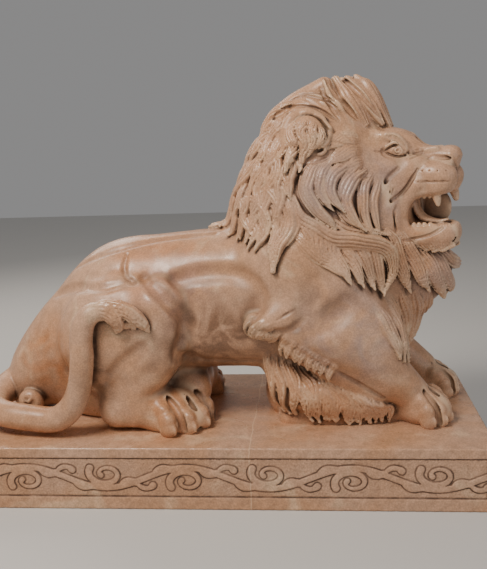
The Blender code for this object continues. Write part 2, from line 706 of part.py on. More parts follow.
def box(name, low, high):
    """A box between two corners."""
    points = np.array([[(low, high)[c[i]][i] for i in range(3)] for c in np.ndindex(2, 2, 2)], float)
    faces = np.array([(0, 1, 3, 2), (4, 6, 7, 5), (0, 4, 5, 1), (2, 3, 7, 6), (0, 2, 6, 4), (1, 5, 7, 3)])
    return object_of(name, points, faces)


class Face:
    """A side of the plinth. Along it runs u, from its middle; up is z; out is away from the stone."""

    def __init__(self, angle, length, reach):
        self.length = length
        self.out = np.array([math.sin(angle), -math.cos(angle), 0])
        self.along = np.array([math.cos(angle), math.sin(angle), 0])
        self.reach = reach

    def points(self, flat, out):
        """The places of (u, z) pairs at a depth out of the face."""
        u, z = np.array(flat, float).T
        depth = self.reach + out
        return u[:, None] * self.along + depth * self.out + z[:, None] * (0, 0, 1)


FACES = {
    "front": Face(0.0, PLINTH_LENGTH, PLINTH_DEPTH / 2),
    "right": Face(math.pi / 2, PLINTH_DEPTH, PLINTH_LENGTH / 2),
    "back": Face(math.pi, PLINTH_LENGTH, PLINTH_DEPTH / 2),
    "left": Face(-math.pi / 2, PLINTH_DEPTH, PLINTH_LENGTH / 2),
}


def slab(name, face, outline, low, high):
    """A flat piece with an outline of (u, z) pairs, counterclockwise, between two depths of a face."""
    count = len(outline)
    points = np.vstack([face.points(outline, low), face.points(outline, high)])
    made = bpy.data.meshes.new(name)
    rim = [(i, (i + 1) % count, (i + 1) % count + count, i + count) for i in range(count)]
    front, rear = list(range(count, 2 * count)), list(range(count - 1, -1, -1))
    made.from_pydata(points.tolist(), [], rim + [front, rear])
    thing = bpy.data.objects.new(name, made)
    bpy.context.scene.collection.objects.link(thing)
    face_outwards(thing)
    return thing


def ribbon(face, line, widths):
    """A raised band that follows (u, z) places, with its width at each."""
    line = np.array(line, float)
    way = np.gradient(line, axis=0)
    way /= np.linalg.norm(way, axis=1)[:, None]
    side = np.stack([way[:, 1], -way[:, 0]], -1) * np.array(widths, float)[:, None] / 2
    count = len(line)
    points = np.vstack([face.points(line + s * side, out) for s in (1, -1)
                        for out in (-PANEL_SINK - RELIEF_ROOT, RELIEF_HEIGHT - PANEL_SINK)])
    right_low, right_high, left_low, left_high = (np.arange(count) + i * count for i in range(4))
    faces = []
    for a, b in ((right_high, left_high), (left_high, left_low), (left_low, right_low), (right_low, right_high)):
        faces.append(np.stack([a[:-1], a[1:], b[1:], b[:-1]], -1))
    ends = [(right_low[0], right_high[0], left_high[0], left_low[0]),
            (right_low[-1], left_low[-1], left_high[-1], right_high[-1])]
    band = object_of("band", points, np.vstack(faces + [np.array(ends)]))
    face_outwards(band)
    return band


PANEL_MIDDLE = (BORDER_BOTTOM + PLINTH_HEIGHT - BORDER_TOP) / 2


def stem_height(u):
    """The height of the wavy stem at a place along a face."""
    return PANEL_MIDDLE + SCROLL_SWING * math.cos(2 * math.pi * (u - SCROLL_START) / SCROLL_PITCH)


def scroll(face):
    """The bands of the scroll on a face: the stem, and in each of its hollows a volute and leaves."""
    half = face.length / 2 - BORDER_END
    places = np.linspace(-half, half, max(4, round(2 * half / SCROLL_PITCH * STEM_PIECES)))
    bands = [ribbon(face, [(u, stem_height(u)) for u in places], [STEM_WIDTH] * len(places))]
    first = math.ceil((-half + VOLUTE_REACH - SCROLL_START) / (SCROLL_PITCH / 2))
    last = math.floor((half - VOLUTE_REACH - SCROLL_START) / (SCROLL_PITCH / 2))
    for bend in range(first, last + 1):
        up = 1 if bend % 2 == 0 else -1
        middle = SCROLL_START + bend * SCROLL_PITCH / 2
        bands.append(volute(face, middle, up))
        bands += [leaf(face, middle + at * SCROLL_PITCH, up * way, turn * up) for at, way, turn in LEAVES]
    return bands


def volute(face, middle, up):
    """A spiral that leaves the stem and curls up in the hollow under its bend."""
    turns = np.linspace(0, 1, VOLUTE_PIECES)
    angle = math.pi * (1.12 - 2.9 * turns)
    radius = VOLUTE_SIZE * (1.12 - 0.86 * turns)
    line = np.stack([middle + VOLUTE_STRETCH * radius * np.cos(angle),
                     PANEL_MIDDLE - up * VOLUTE_DROP + up * radius * np.sin(angle)], -1)
    return ribbon(face, line, STEM_WIDTH * (0.75 - 0.25 * turns))


def leaf(face, root, up, turn):
    """A pointed leaf that grows from the stem at a place along the face."""
    share = np.linspace(0, 1, LEAF_PIECES)
    angle = math.radians(62) * up + turn * math.radians(50) * share
    stride = LEAF_LENGTH / (LEAF_PIECES - 1)
    line = np.array([root, stem_height(root)]) + np.cumsum(
        np.vstack([(0, 0), np.stack([np.cos(angle), np.sin(angle)], -1)[:-1] * stride]), axis=0)
    return ribbon(face, line, LEAF_WIDTH * (0.15 + 0.85 * np.sin(math.pi * (0.2 + 0.8 * share))))


def plinth():
    """The plinth: a block with a sunk panel in each side, and the scroll on all but the back."""
    half, depth = PLINTH_LENGTH / 2, PLINTH_DEPTH / 2
    block = box("lion_on_plinth", (-half, -depth, 0), (half, depth, PLINTH_HEIGHT))
    for name, face in FACES.items():
        end, low, high = face.length / 2 - BORDER_END, BORDER_BOTTOM, PLINTH_HEIGHT - BORDER_TOP
        outline = [(-end, low), (end, low), (end, high), (-end, high)]
        change(block, slab("panel", face, outline, -PANEL_SINK, 2 * PANEL_SINK), "DIFFERENCE")
        if name != "back":
            for band in scroll(face):
                change(block, band, "UNION")
    return block


def marble():
    """Warm pink-tan marble, polished by hand and weathered."""
    finish = bpy.data.materials.new("marble")
    finish.use_nodes = True
    shader = finish.node_tree.nodes["Principled BSDF"]
    shader.inputs["Base Color"].default_value = (0.50, 0.33, 0.23, 1)
    shader.inputs["Roughness"].default_value = 0.38
    shader.inputs["Metallic"].default_value = 0.0
    return finish


def main():
    for old in list(bpy.data.objects):
        bpy.data.objects.remove(old)
    statue = plinth()
    change(statue, lion(), "UNION")
    statue.data.materials.clear()
    statue.data.materials.append(marble())


if __name__ == "__main__":
    main()
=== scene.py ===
"""The looks of a marble lion that lies on its plinth with its head up and its mouth open.

The lion is carved in clay: masses, limbs and locks of hair are joined in a field of distances, and
the skin of that field is the mesh. Its places are in millimetres above the plinth's top, +X is the
way the lion lies and the near side is -Y. The plinth is a block with a finely cut frieze.
"""

import logging
import math
from dataclasses import dataclass, field, replace
from enum import Enum
from typing import Protocol

import bmesh
import bpy
import numpy as np
from mathutils import Matrix, Vector

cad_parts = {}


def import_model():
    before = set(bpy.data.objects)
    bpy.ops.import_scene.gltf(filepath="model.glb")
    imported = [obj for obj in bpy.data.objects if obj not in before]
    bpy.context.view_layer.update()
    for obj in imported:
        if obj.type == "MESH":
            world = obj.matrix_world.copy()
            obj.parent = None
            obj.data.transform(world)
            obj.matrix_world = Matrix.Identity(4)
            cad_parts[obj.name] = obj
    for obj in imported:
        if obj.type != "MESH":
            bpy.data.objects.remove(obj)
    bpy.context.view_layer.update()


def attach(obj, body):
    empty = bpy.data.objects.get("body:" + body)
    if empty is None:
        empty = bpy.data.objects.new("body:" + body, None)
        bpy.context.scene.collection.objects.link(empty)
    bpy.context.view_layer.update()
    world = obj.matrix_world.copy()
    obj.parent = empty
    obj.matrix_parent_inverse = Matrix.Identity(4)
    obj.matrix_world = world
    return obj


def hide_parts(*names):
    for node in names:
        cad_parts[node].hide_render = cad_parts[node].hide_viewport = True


log = logging.getLogger("lion")

CAD_NODE = "lion_on_plinth"
BODY = "root"

MILLIMETRE = 0.001
PLINTH_HEIGHT = 0.180
SINK = 14.0
FAR_OFF = 1000.0
MIDDLE = 10.0


class Side(Enum):
    """A side of the lion, by the sign of its Y."""

    NEAR = -1
    OPPOSITE = 1

    def y(self, out: float) -> float:
        """The Y of a place so far out from the middle on this side."""
        return MIDDLE + self.value * out


class Cut(Enum):
    """What a form does to the clay."""

    ADD = "add"
    CARVE = "carve"


SIDES = (Side.NEAR, Side.OPPOSITE)


# Forms in the clay

# How quickly a cut line comes to its full radius from either end.
FULLNESS = 2.2
# How much further than half its width a lock reaches, because it is lifted and rolled.
LOCK_REACH = 1.35
# Steps to the surface: how many at most from beside the lion, and how long one may be, in millimetres.
PRESS_STEPS = 60
PRESS_LEAST = 2.0
PRESS_MOST = 20.0
SETTLE_MOST = 30.0
PINCH_ROUNDS = 12


def turned(yaw: float = 0.0, pitch: float = 0.0) -> np.ndarray:
    """The turn about Z by yaw after the tilt that lifts +X by pitch.

    Args:
        yaw: degrees about Z.
        pitch: degrees of lift.

    Returns:
        A 3 by 3 rotation.
    """
    y, p = math.radians(yaw), math.radians(pitch)
    about_z = np.array([[math.cos(y), -math.sin(y), 0], [math.sin(y), math.cos(y), 0], [0, 0, 1]])
    about_y = np.array([[math.cos(p), 0, -math.sin(p)], [0, 1, 0], [math.sin(p), 0, math.cos(p)]])
    return about_z @ about_y


@dataclass
class Placing:
    """A frame of its own for the head, an ear or a paw: x forward, y to the lion's left, z up."""

    origin: tuple[float, float, float]
    yaw: float = 0.0

    def point(self, at: np.ndarray) -> np.ndarray:
        """Where a place in this frame is on the lion."""
        return np.array(self.origin, float) + turned(self.yaw) @ np.array(at, float)

    def way(self, at: tuple) -> np.ndarray:
        """A direction of this frame, on the lion."""
        return turned(self.yaw) @ np.array(at, float)

    def path(self, rows: list, pieces: int = 5) -> np.ndarray:
        """A smooth path on the lion through places in this frame."""
        return np.array([self.point(row) for row in smooth_path(rows, pieces)])

    def inside(self, at: np.ndarray) -> np.ndarray:
        """Where a place on the lion is in this frame."""
        return turned(self.yaw).T @ (np.array(at, float) - np.array(self.origin, float))

    def mirrored(self, at: np.ndarray) -> np.ndarray:
        """The place across this frame's middle from a place on the lion."""
        local = self.inside(at)
        return self.point((local[0], -local[1], local[2]))


@dataclass
class Patch:
    """The part of a clay's grid that a form reaches."""

    lines: list[np.ndarray]

    @property
    def shape(self) -> tuple[int, ...]:
        """How many places there are each way."""
        return tuple(len(line) for line in self.lines)

    def within(self, low: np.ndarray, high: np.ndarray) -> tuple[slice, ...]:
        """The spans of the patch between two corners."""
        return tuple(slice(*np.searchsorted(line, (a, b))) for line, a, b in zip(self.lines, low, high))

    def places(self, spans: tuple[slice, ...]) -> tuple[np.ndarray, ...]:
        """The x, y and z of the places in some spans, ready to combine."""
        x, y, z = (line[span] for line, span in zip(self.lines, spans))
        return x[:, None, None], y[None, :, None], z[None, None, :]

    def everything(self) -> tuple[slice, ...]:
        """The spans of the whole patch."""
        return tuple(slice(0, n) for n in self.shape)


class Form(Protocol):
    """What clay can be joined with: anything that knows its box and how far places are outside it."""

    def reach(self) -> tuple[np.ndarray, np.ndarray]:
        """The corners of the box that holds it."""

    def distance(self, patch: Patch, margin: float) -> np.ndarray:
        """How far each place of a patch is outside it."""


@dataclass
class Mass:
    """An ellipsoid of muscle, bone or cloth of hair."""

    centre: np.ndarray
    radii: tuple[float, float, float]
    yaw: float = 0.0
    pitch: float = 0.0
    turn: np.ndarray = field(init=False)

    def __post_init__(self) -> None:
        """Works out the mass's own turn."""
        self.centre = np.array(self.centre, float)
        self.turn = turned(self.yaw, self.pitch)

    def placed(self, frame: Placing) -> "Mass":
        """This mass, moved from a frame onto the lion."""
        self.centre = frame.point(self.centre)
        self.turn = turned(frame.yaw) @ self.turn
        return self

    def reach(self) -> tuple[np.ndarray, np.ndarray]:
        """The corners of the box that holds it."""
        half = np.sqrt(((self.turn * np.array(self.radii)) ** 2).sum(1))
        return self.centre - half, self.centre + half

    def distance(self, patch: Patch, margin: float) -> np.ndarray:
        """How far each place of a patch is outside the mass."""
        x, y, z = patch.places(patch.everything())
        middle = self.centre.astype(np.float32)
        x, y, z = x - middle[0], y - middle[1], z - middle[2]
        near, steep = np.float32(0), np.float32(0)
        for axis, radius in zip(self.turn.T.astype(np.float32), self.radii):
            along = (x * axis[0] + y * axis[1] + z * axis[2]) / np.float32(radius)
            near = near + along * along
            steep = steep + (along / np.float32(radius)) ** 2
        near = np.sqrt(near)
        return near * (near - 1) / np.sqrt(steep + np.float32(1e-12))


def smooth_path(rows: np.ndarray, pieces: int) -> np.ndarray:
    """A smooth curve through rows of values.

    Args:
        rows: the values to pass through.
        pieces: how many pieces lie between each two rows.

    Returns:
        The rows of the curve.
    """
    rows = np.array(rows, float)
    ends = np.vstack([2 * rows[0] - rows[1], rows, 2 * rows[-1] - rows[-2]])
    out = []
    for a, b, c, d in zip(ends[:-3], ends[1:-2], ends[2:-1], ends[3:]):
        for t in np.arange(pieces) / pieces:
            curve = 2 * b + (c - a) * t + (2 * a - 5 * b + 4 * c - d) * t * t
            out.append(0.5 * (curve + (3 * b - a - 3 * c + d) * t ** 3))
    out.append(rows[-1])
    return np.array(out)


def narrowed(radius: float, count: int, least: float) -> np.ndarray:
    """The radii along a cut line: full in the middle, and no less than a share of that at its ends."""
    share = np.linspace(0, 1, count)
    return radius * np.clip(np.sin(math.pi * share) * FULLNESS, least, 1)[:, None]


class Limb:
    """A round sweep through rows of x, y, z and radius."""

    def __init__(self, rows: list, pieces: int = 8) -> None:
        """Smooths the rows into a curve, with some pieces between each two of them."""
        self.rows = smooth_path(rows, pieces)

    def placed(self, frame: Placing) -> "Limb":
        """This limb, moved from a frame onto the lion."""
        self.rows[:, :3] = [frame.point(row) for row in self.rows[:, :3]]
        return self

    def reach(self) -> tuple[np.ndarray, np.ndarray]:
        """The corners of the box that holds it."""
        pad = self.rows[:, 3:4]
        return (self.rows[:, :3] - pad).min(0), (self.rows[:, :3] + pad).max(0)

    def distance(self, patch: Patch, margin: float) -> np.ndarray:
        """How far each place of a patch is outside the limb, as far as the margin."""
        out = np.full(patch.shape, FAR_OFF, np.float32)
        for a, b in zip(self.rows[:-1].astype(np.float32), self.rows[1:].astype(np.float32)):
            low = np.minimum(a[:3] - a[3], b[:3] - b[3]) - margin
            high = np.maximum(a[:3] + a[3], b[:3] + b[3]) + margin
            spans = patch.within(low, high)
            x, y, z = patch.places(spans)
            if 0 in (x.size, y.size, z.size):
                continue
            run = b[:3] - a[:3]
            px, py, pz = x - a[0], y - a[1], z - a[2]
            t = np.clip((px * run[0] + py * run[1] + pz * run[2]) / (run @ run + np.float32(1e-6)), 0, 1)
            gap = np.sqrt((px - t * run[0]) ** 2 + (py - t * run[1]) ** 2 + (pz - t * run[2]) ** 2)
            out[spans] = np.minimum(out[spans], gap - (a[3] + t * (b[3] - a[3])))
        return out


@dataclass
class Strands:
    """How the strands are cut along a lock."""

    count: int = 4
    depth: float = 2.6
    waver: float = 0.12
    groove: float = 0.42


class Lock:
    """A lock of hair: a flattened sweep that lies on a surface, cut with strands."""

    def __init__(self, points: np.ndarray, normals: np.ndarray, wide: np.ndarray, thick: np.ndarray,
                 strands: Strands, roll: float = 0.0, phase: float = 0.0) -> None:
        """Lays the lock.

        Args:
            points: the places along its middle.
            normals: the way out of the surface at each.
            wide: half its width at each.
            thick: half its thickness at each.
            strands: how it is cut.
            roll: degrees that one edge stands up, so that locks overlap like tiles.
            phase: where the waver of the strands starts.
        """
        self.points, self.wide, self.thick = points, wide, thick
        self.strands, self.phase = strands, phase
        along = np.gradient(points, axis=0)
        along /= np.linalg.norm(along, axis=1)[:, None] + 1e-9
        up = normals - (normals * along).sum(1)[:, None] * along
        up /= np.linalg.norm(up, axis=1)[:, None] + 1e-9
        across = np.cross(along, up)
        lean = math.radians(roll)
        self.up = up * math.cos(lean) + across * math.sin(lean)
        self.across = across * math.cos(lean) - up * math.sin(lean)

    def reach(self) -> tuple[np.ndarray, np.ndarray]:
        """The corners of the box that holds it."""
        pad = np.maximum(self.wide, self.thick)[:, None]
        return (self.points - pad).min(0), (self.points + pad).max(0)

    def distance(self, patch: Patch, margin: float) -> np.ndarray:
        """How far each place of a patch is outside the lock, as far as the margin."""
        best = np.full(patch.shape, FAR_OFF * FAR_OFF, np.float32)
        where = np.zeros(patch.shape, np.float32)
        ends = self.points.astype(np.float32)
        span = self.wide.max() * LOCK_REACH + margin
        for i, (a, b) in enumerate(zip(ends[:-1], ends[1:])):
            spans = patch.within(np.minimum(a, b) - span, np.maximum(a, b) + span)
            x, y, z = patch.places(spans)
            if 0 in (x.size, y.size, z.size):
                continue
            run = b - a
            px, py, pz = x - a[0], y - a[1], z - a[2]
            t = np.clip((px * run[0] + py * run[1] + pz * run[2]) / (run @ run + np.float32(1e-6)), 0, 1)
            gap = (px - t * run[0]) ** 2 + (py - t * run[1]) ** 2 + (pz - t * run[2]) ** 2
            closer = gap < best[spans]
            best[spans] = np.where(closer, gap, best[spans])
            where[spans] = np.where(closer, i + t, where[spans])
        out = np.full(patch.shape, FAR_OFF, np.float32)
        near = best < span ** 2
        if near.any():
            out[near] = self._shape(patch, near, where[near])
        return out

    def _shape(self, patch: Patch, near: np.ndarray, share: np.ndarray) -> np.ndarray:
        """The distances at the places of a patch that are near the lock."""
        steps = np.arange(len(self.points))

        def here(rows: np.ndarray) -> np.ndarray:
            return np.stack([np.interp(share, steps, rows[:, i]) for i in range(3)], -1)

        index = np.nonzero(near)
        at = np.stack([line[i] for line, i in zip(patch.lines, index)], -1)
        off = at - here(self.points)
        wide, thick = np.interp(share, steps, self.wide), np.interp(share, steps, self.thick)
        side, lift = (off * here(self.across)).sum(-1), (off * here(self.up)).sum(-1)
        past = np.maximum((off ** 2).sum(-1) - side ** 2 - lift ** 2, 0)
        length = np.sqrt((off ** 2).sum(-1))
        scale = np.sqrt((side / wide) ** 2 + (lift / thick) ** 2 + past / thick ** 2) + 1e-6
        gap = np.where(length < 1e-6, -thick, length * (1 - 1 / scale))
        cut = self.strands
        waver = cut.waver * np.sin(share * 0.9 + self.phase)
        strand = (side / wide + 1) / 2 * cut.count + waver * cut.count / 3
        beside = np.abs(strand - np.round(strand)) * 2 / cut.groove
        taper = np.clip(wide / 9, 0.3, 1)
        return gap + cut.depth * taper * np.exp(-beside * beside) * (lift > -0.3 * thick)


class Clay:
    """A block of distances on a grid, below zero inside the lion."""

    def __init__(self, low: tuple, high: tuple, step: float) -> None:
        """Starts an empty block between two corners, with places a step apart."""
        self.step = float(step)
        self.low = np.array(low, float)
        self.count = np.ceil((np.array(high, float) - self.low) / step).astype(int) + 1
        self.field = np.full(self.count, FAR_OFF, np.float32)

    def copied(self) -> "Clay":
        """The clay as it is now, for hair to follow."""
        other = Clay(self.low, self.low + self.step, self.step)
        other.count, other.field = self.count, self.field.copy()
        return other

    def _meet(self, form: Form, blend: float) -> tuple | None:
        """The spans that a form reaches and its distances there, or nothing where it lies outside."""
        low, high = form.reach()
        pad = blend + 3 * self.step
        first = np.maximum(np.floor((low - pad - self.low) / self.step).astype(int), 0)
        last = np.minimum(np.ceil((high + pad - self.low) / self.step).astype(int) + 1, self.count)
        if (last - first < 1).any():
            return None
        spans = tuple(slice(a, b) for a, b in zip(first, last))
        lines = [(self.low[i] + self.step * np.arange(first[i], last[i])).astype(np.float32)
                 for i in range(3)]
        return spans, form.distance(Patch(lines), 3 * blend + 4 * self.step)

    def take(self, form: Form, blend: float, cut: Cut) -> None:
        """Joins a form on softly, or takes it away."""
        met = self._meet(form, blend)
        if met is None:
            return
        spans, new = met
        old = self.field[spans]
        if cut is Cut.ADD:
            mix = np.maximum(blend - np.abs(old - new), 0)
            self.field[spans] = np.minimum(old, new) - mix * mix / (4 * blend)
        else:
            mix = np.maximum(blend - np.abs(old + new), 0)
            self.field[spans] = np.maximum(old, -new) + mix * mix / (4 * blend)

    def read(self, points: np.ndarray) -> np.ndarray:
        """The distance at points between the grid's own."""
        at = (points - self.low) / self.step
        cell = np.clip(np.floor(at).astype(int), 0, self.count - 2)
        t = np.clip(at - cell, 0, 1)
        out = 0.0
        for corner in np.ndindex(2, 2, 2):
            weight = np.abs(1 - np.array(corner) - t).prod(1)
            out = out + weight * self.field[tuple((cell + corner).T)]
        return out

    def slope(self, points: np.ndarray) -> np.ndarray:
        """The outward normals at points."""
        steps = np.eye(3) * self.step
        rise = np.stack([self.read(points + d) - self.read(points - d) for d in steps], -1)
        return rise / (np.linalg.norm(rise, axis=-1)[:, None] + 1e-9)

    def settle(self, points: np.ndarray, times: int = 3) -> np.ndarray:
        """The points moved onto the surface beside them."""
        for _ in range(times):
            gap = np.clip(self.read(points), -SETTLE_MOST, SETTLE_MOST)
            points = points - self.slope(points) * gap[:, None]
        return points

    def pressed(self, start: np.ndarray, side: Side) -> np.ndarray:
        """Where points beside the lion first meet it when they are moved in towards its middle."""
        at = start.copy()
        for _ in range(PRESS_STEPS):
            gap = self.read(at)
            open_air = gap > 1
            if not open_air.any():
                break
            on = side.value * (at[open_air, 1] - MIDDLE) > 4
            at[open_air, 1] -= side.value * np.clip(gap[open_air], PRESS_LEAST, PRESS_MOST) * on
        return self.settle(at, 4)

    def path_on(self, places: list, side: Side, out: float) -> np.ndarray:
        """A smooth path over the surface through places on one side, given as x and z."""
        line = smooth_path(places, 4)
        start = np.stack([line[:, 0], np.full(len(line), side.y(out)), line[:, 1]], -1)
        return self.pressed(start, side)

    def keep_within(self, low: np.ndarray, high: np.ndarray, dive: float, run: float) -> None:
        """Cuts the clay to a block. Past the block it dives under its neighbour and then ends.

        Args:
            low: the block's lowest corner.
            high: the block's highest corner.
            dive: how far below the neighbour's surface the clay goes.
            run: how far past the block it ends.
        """
        for axis in range(3):
            line = (self.low[axis] + self.step * np.arange(self.count[axis])).astype(np.float32)
            past = np.maximum(low[axis] - line, line - high[axis])
            shape = [1, 1, 1]
            shape[axis] = -1
            past = past.reshape(shape)
            if (past > 0).any():
                self.field += dive * np.clip(past / run, 0, 1)
            np.maximum(self.field, past - run, out=self.field)

    def fill_pinches(self) -> None:
        """Fills the places where the clay touches itself only along an edge or at a corner of the grid."""
        spans = [(slice(0, -1), slice(1, None)) for _ in range(3)]
        for _ in range(PINCH_ROUNDS):
            inside = self.field < 0
            fill = np.zeros_like(inside)
            for axis in range(3):
                u, v = (axis + 1) % 3, (axis + 2) % 3
                views = {}
                for a, b in np.ndindex(2, 2):
                    view = [slice(None)] * 3
                    view[u], view[v] = spans[u][a], spans[v][b]
                    views[a, b] = tuple(view)
                for a, b in ((0, 0), (0, 1)):
                    first, second = views[a, b], views[1 - a, 1 - b]
                    third, fourth = views[a, 1 - b], views[1 - a, b]
                    fill[third] |= inside[first] & inside[second] & ~inside[third] & ~inside[fourth]
            fill &= ~inside
            if not fill.any():
                return
            self.field[fill] = -0.2 * self.step

    def skin(self) -> tuple[np.ndarray, np.ndarray]:
        """The surface, with one point in each cell that it crosses.

        Returns:
            The points, and the four-sided faces as rows of their numbers.
        """
        self.fill_pinches()
        inside = self.field < 0
        corners = list(np.ndindex(2, 2, 2))
        cut = [inside[tuple(slice(c, c + n - 1) for c, n in zip(corner, inside.shape))]
               for corner in corners]
        crossed = np.logical_or.reduce(cut) & ~np.logical_and.reduce(cut)
        cells = np.argwhere(crossed)
        index = np.full(crossed.shape, -1, np.int32)
        index[crossed] = np.arange(len(cells))
        value = {c: self.field[tuple((cells + c).T)].astype(float) for c in corners}
        total, count = np.zeros((len(cells), 3)), np.zeros(len(cells))
        for a in corners:
            for axis in range(3):
                if a[axis]:
                    continue
                b = tuple(1 if i == axis else a[i] for i in range(3))
                cross = (value[a] < 0) != (value[b] < 0)
                spot = np.tile(np.array(a, float), (cross.sum(), 1))
                spot[:, axis] = value[a][cross] / (value[a][cross] - value[b][cross])
                total[cross] += spot
                count[cross] += 1
        points = self.low + self.step * (cells + total / count[:, None])
        faces = []
        for axis in range(3):
            u, v = (axis + 1) % 3, (axis + 2) % 3
            here = tuple(slice(0, -1) if i == axis else slice(None) for i in range(3))
            ahead = tuple(slice(1, None) if i == axis else slice(None) for i in range(3))
            edges = np.argwhere(inside[here] != inside[ahead])
            inner = (edges[:, [u, v]] > 0).all(1) & (edges[:, [u, v]] < self.count[[u, v]] - 1).all(1)
            edges = edges[inner]
            ring = []
            for du, dv in ((1, 1), (0, 1), (0, 0), (1, 0)):
                cell = edges.copy()
                cell[:, u] -= du
                cell[:, v] -= dv
                ring.append(index[tuple(cell.T)])
            ring = np.stack(ring, -1)
            leaving = inside[tuple(edges.T)]
            ring[~leaving] = ring[~leaving][:, ::-1]
            faces.append(ring)
        return points, np.vstack(faces)


# How far beside the middle the points start that are pressed in onto the lion.
PRESS_FROM = 240.0
ROW_FROM = 230.0
DRAFT_STEP = 6.0
WHOLE_LOW = (-770.0, -330.0, -26.0)
WHOLE_HIGH = (770.0, 330.0, 1012.0)


class Carving:
    """The forms of the lion in the order that they are put on and cut, with a rough draft of them all."""

    def __init__(self) -> None:
        """Starts with no forms and an empty draft."""
        self.steps: list[tuple[Form, float, Cut]] = []
        self.draft = Clay(WHOLE_LOW, WHOLE_HIGH, DRAFT_STEP)

    def add(self, form: Form, blend: float) -> None:
        """Puts a form onto the clay."""
        self.steps.append((form, blend, Cut.ADD))
        self.draft.take(form, blend, Cut.ADD)

    def carve(self, form: Form, blend: float) -> None:
        """Cuts a form out of the clay."""
        self.steps.append((form, blend, Cut.CARVE))
        self.draft.take(form, blend, Cut.CARVE)

    def groove(self, places: list, side: Side, radius: float, blend: float, above: float = 0.0,
               out: float = PRESS_FROM) -> None:
        """Cuts a line into the surface through places given as x and z, narrower at both its ends."""
        at = self.draft.path_on(places, side, out)
        at = at + self.draft.slope(at) * above
        self.carve(Limb(np.hstack([at, narrowed(radius, len(at), 0.3)]), 1), blend)

    def shaped(self, low: np.ndarray, high: np.ndarray, step: float) -> Clay:
        """All the forms again in a block of clay of its own, as finely as its step."""
        clay = Clay(low, high, step)
        for form, blend, cut in self.steps:
            clay.take(form, blend, cut)
        floor = (-SINK - clay.low[2] - step * np.arange(clay.count[2])).astype(np.float32)
        clay.field = np.maximum(clay.field, floor)
        return clay


# Hair

STRIDES = 12
# How much locks of a row differ: degrees of heading and turn, shares of length and width, and phase.
VARY_HEADING = 6.0
VARY_TURN = 8.0
VARY_LENGTH = 0.1
VARY_WIDTH = 0.12
VARY_PHASE = 3.0


@dataclass
class Cutting:
    """How a lock is cut: half its width and thickness, how far its tip stands off, and its strands."""

    wide: float = 22.0
    thick: float = 13.0
    lift: float = 9.0
    roll: float = 12.0
    blunt: float = 0.06
    strands: Strands = field(default_factory=Strands)


@dataclass
class Row:
    """A row of locks between two places on the side of the lion, given as x and z.

    Each pair holds the values of the row's first and last lock. A heading is in degrees from
    forward towards up, turn is how much it has changed at the tip, and sway is an S along it.
    """

    first: tuple[float, float]
    last: tuple[float, float]
    count: int
    heading: tuple[float, float]
    length: tuple[float, float]
    turn: tuple[float, float] = (0.0, 0.0)
    sway: float = 0.0
    cutting: Cutting = field(default_factory=Cutting)

    def laid(self, base: Clay, side: Side, seed: int) -> list[Lock]:
        """The row's locks on one side of a base.

        Args:
            base: the clay that the locks follow.
            side: the side of the lion.
            seed: what the small differences between locks are drawn from.

        Returns:
            The locks.
        """
        chance = np.random.default_rng(seed)
        share = np.linspace(0, 1, self.count)

        def spread(pair: tuple[float, float]) -> np.ndarray:
            return pair[0] + (pair[1] - pair[0]) * share

        vary = chance.uniform(-1, 1, (5, self.count))
        start = np.stack([spread((self.first[0], self.last[0])),
                          np.full(self.count, side.y(ROW_FROM)),
                          spread((self.first[1], self.last[1]))], -1)
        at = base.pressed(start, side)
        heading, turn = spread(self.heading) + VARY_HEADING * vary[0], spread(self.turn) + VARY_TURN * vary[1]
        stride = spread(self.length) * (1 + VARY_LENGTH * vary[2]) / STRIDES
        points, normals = [at], [base.slope(at)]
        for i in range(STRIDES):
            t = (i + 0.5) / STRIDES
            angle = np.radians(heading + turn * t + self.sway * np.sin(2 * math.pi * t))
            way = np.stack([np.cos(angle), 0 * angle, np.sin(angle)], -1)
            up = normals[-1]
            way = way - up * (way * up).sum(1)[:, None]
            way /= np.linalg.norm(way, axis=1)[:, None] + 1e-9
            at = base.settle(at + way * stride[:, None], 2)
            points.append(at)
            normals.append(base.slope(at))
        points, normals = np.stack(points, 1), np.stack(normals, 1)
        cuttings = [replace(self.cutting, wide=self.cutting.wide * (1 + VARY_WIDTH * v)) for v in vary[3]]
        return [lock_on(points[i], normals[i], cuttings[i], side, VARY_PHASE * vary[4, i])
                for i in range(self.count)]


def lock_on(points: np.ndarray, normals: np.ndarray, cutting: Cutting, side: Side,
            phase: float = 0.0) -> Lock:
    """A lock along points of a surface: narrow at its root, full in the middle, with a raised tip."""
    s = np.linspace(0, 1, len(points))
    taper = np.minimum(1, 0.5 + 2.4 * s) * np.clip(1.03 - s ** 3.4, cutting.blunt, 1)
    rise = cutting.lift * s ** 1.4 + 0.22 * cutting.thick - 8 * (1 - s) ** 4
    return Lock(points + normals * rise[:, None], normals, cutting.wide * taper + 1.5,
                cutting.thick * (0.35 + 0.65 * taper), cutting.strands, cutting.roll * -side.value, phase)


def lock_through(base: Clay, places: tuple, side: Side, cutting: Cutting, out: float = PRESS_FROM,
                 phase: float = 0.0) -> Lock:
    """A lock that passes places on the side of a base, given as x and z."""
    points = base.path_on(places, side, out)
    return lock_on(points, base.slope(points), cutting, side, phase)


BROAD = Cutting(27, 15, 5, 14, strands=Strands(5, 5.2, 0.2, 0.34))
MIDDLING = Cutting(23, 14, 5, 14, strands=Strands(4, 5.2, 0.2, 0.34))
SLIM = Cutting(17, 12, 4.5, 13, strands=Strands(3, 4.8, 0.2, 0.34))
FLAT = Cutting(24, 8, 2, 8, strands=Strands(6, 2.6, 0.12, 0.34))
TRESS = Cutting(14, 14, 8, 14, strands=Strands(3, 4.4, 0.2, 0.32))

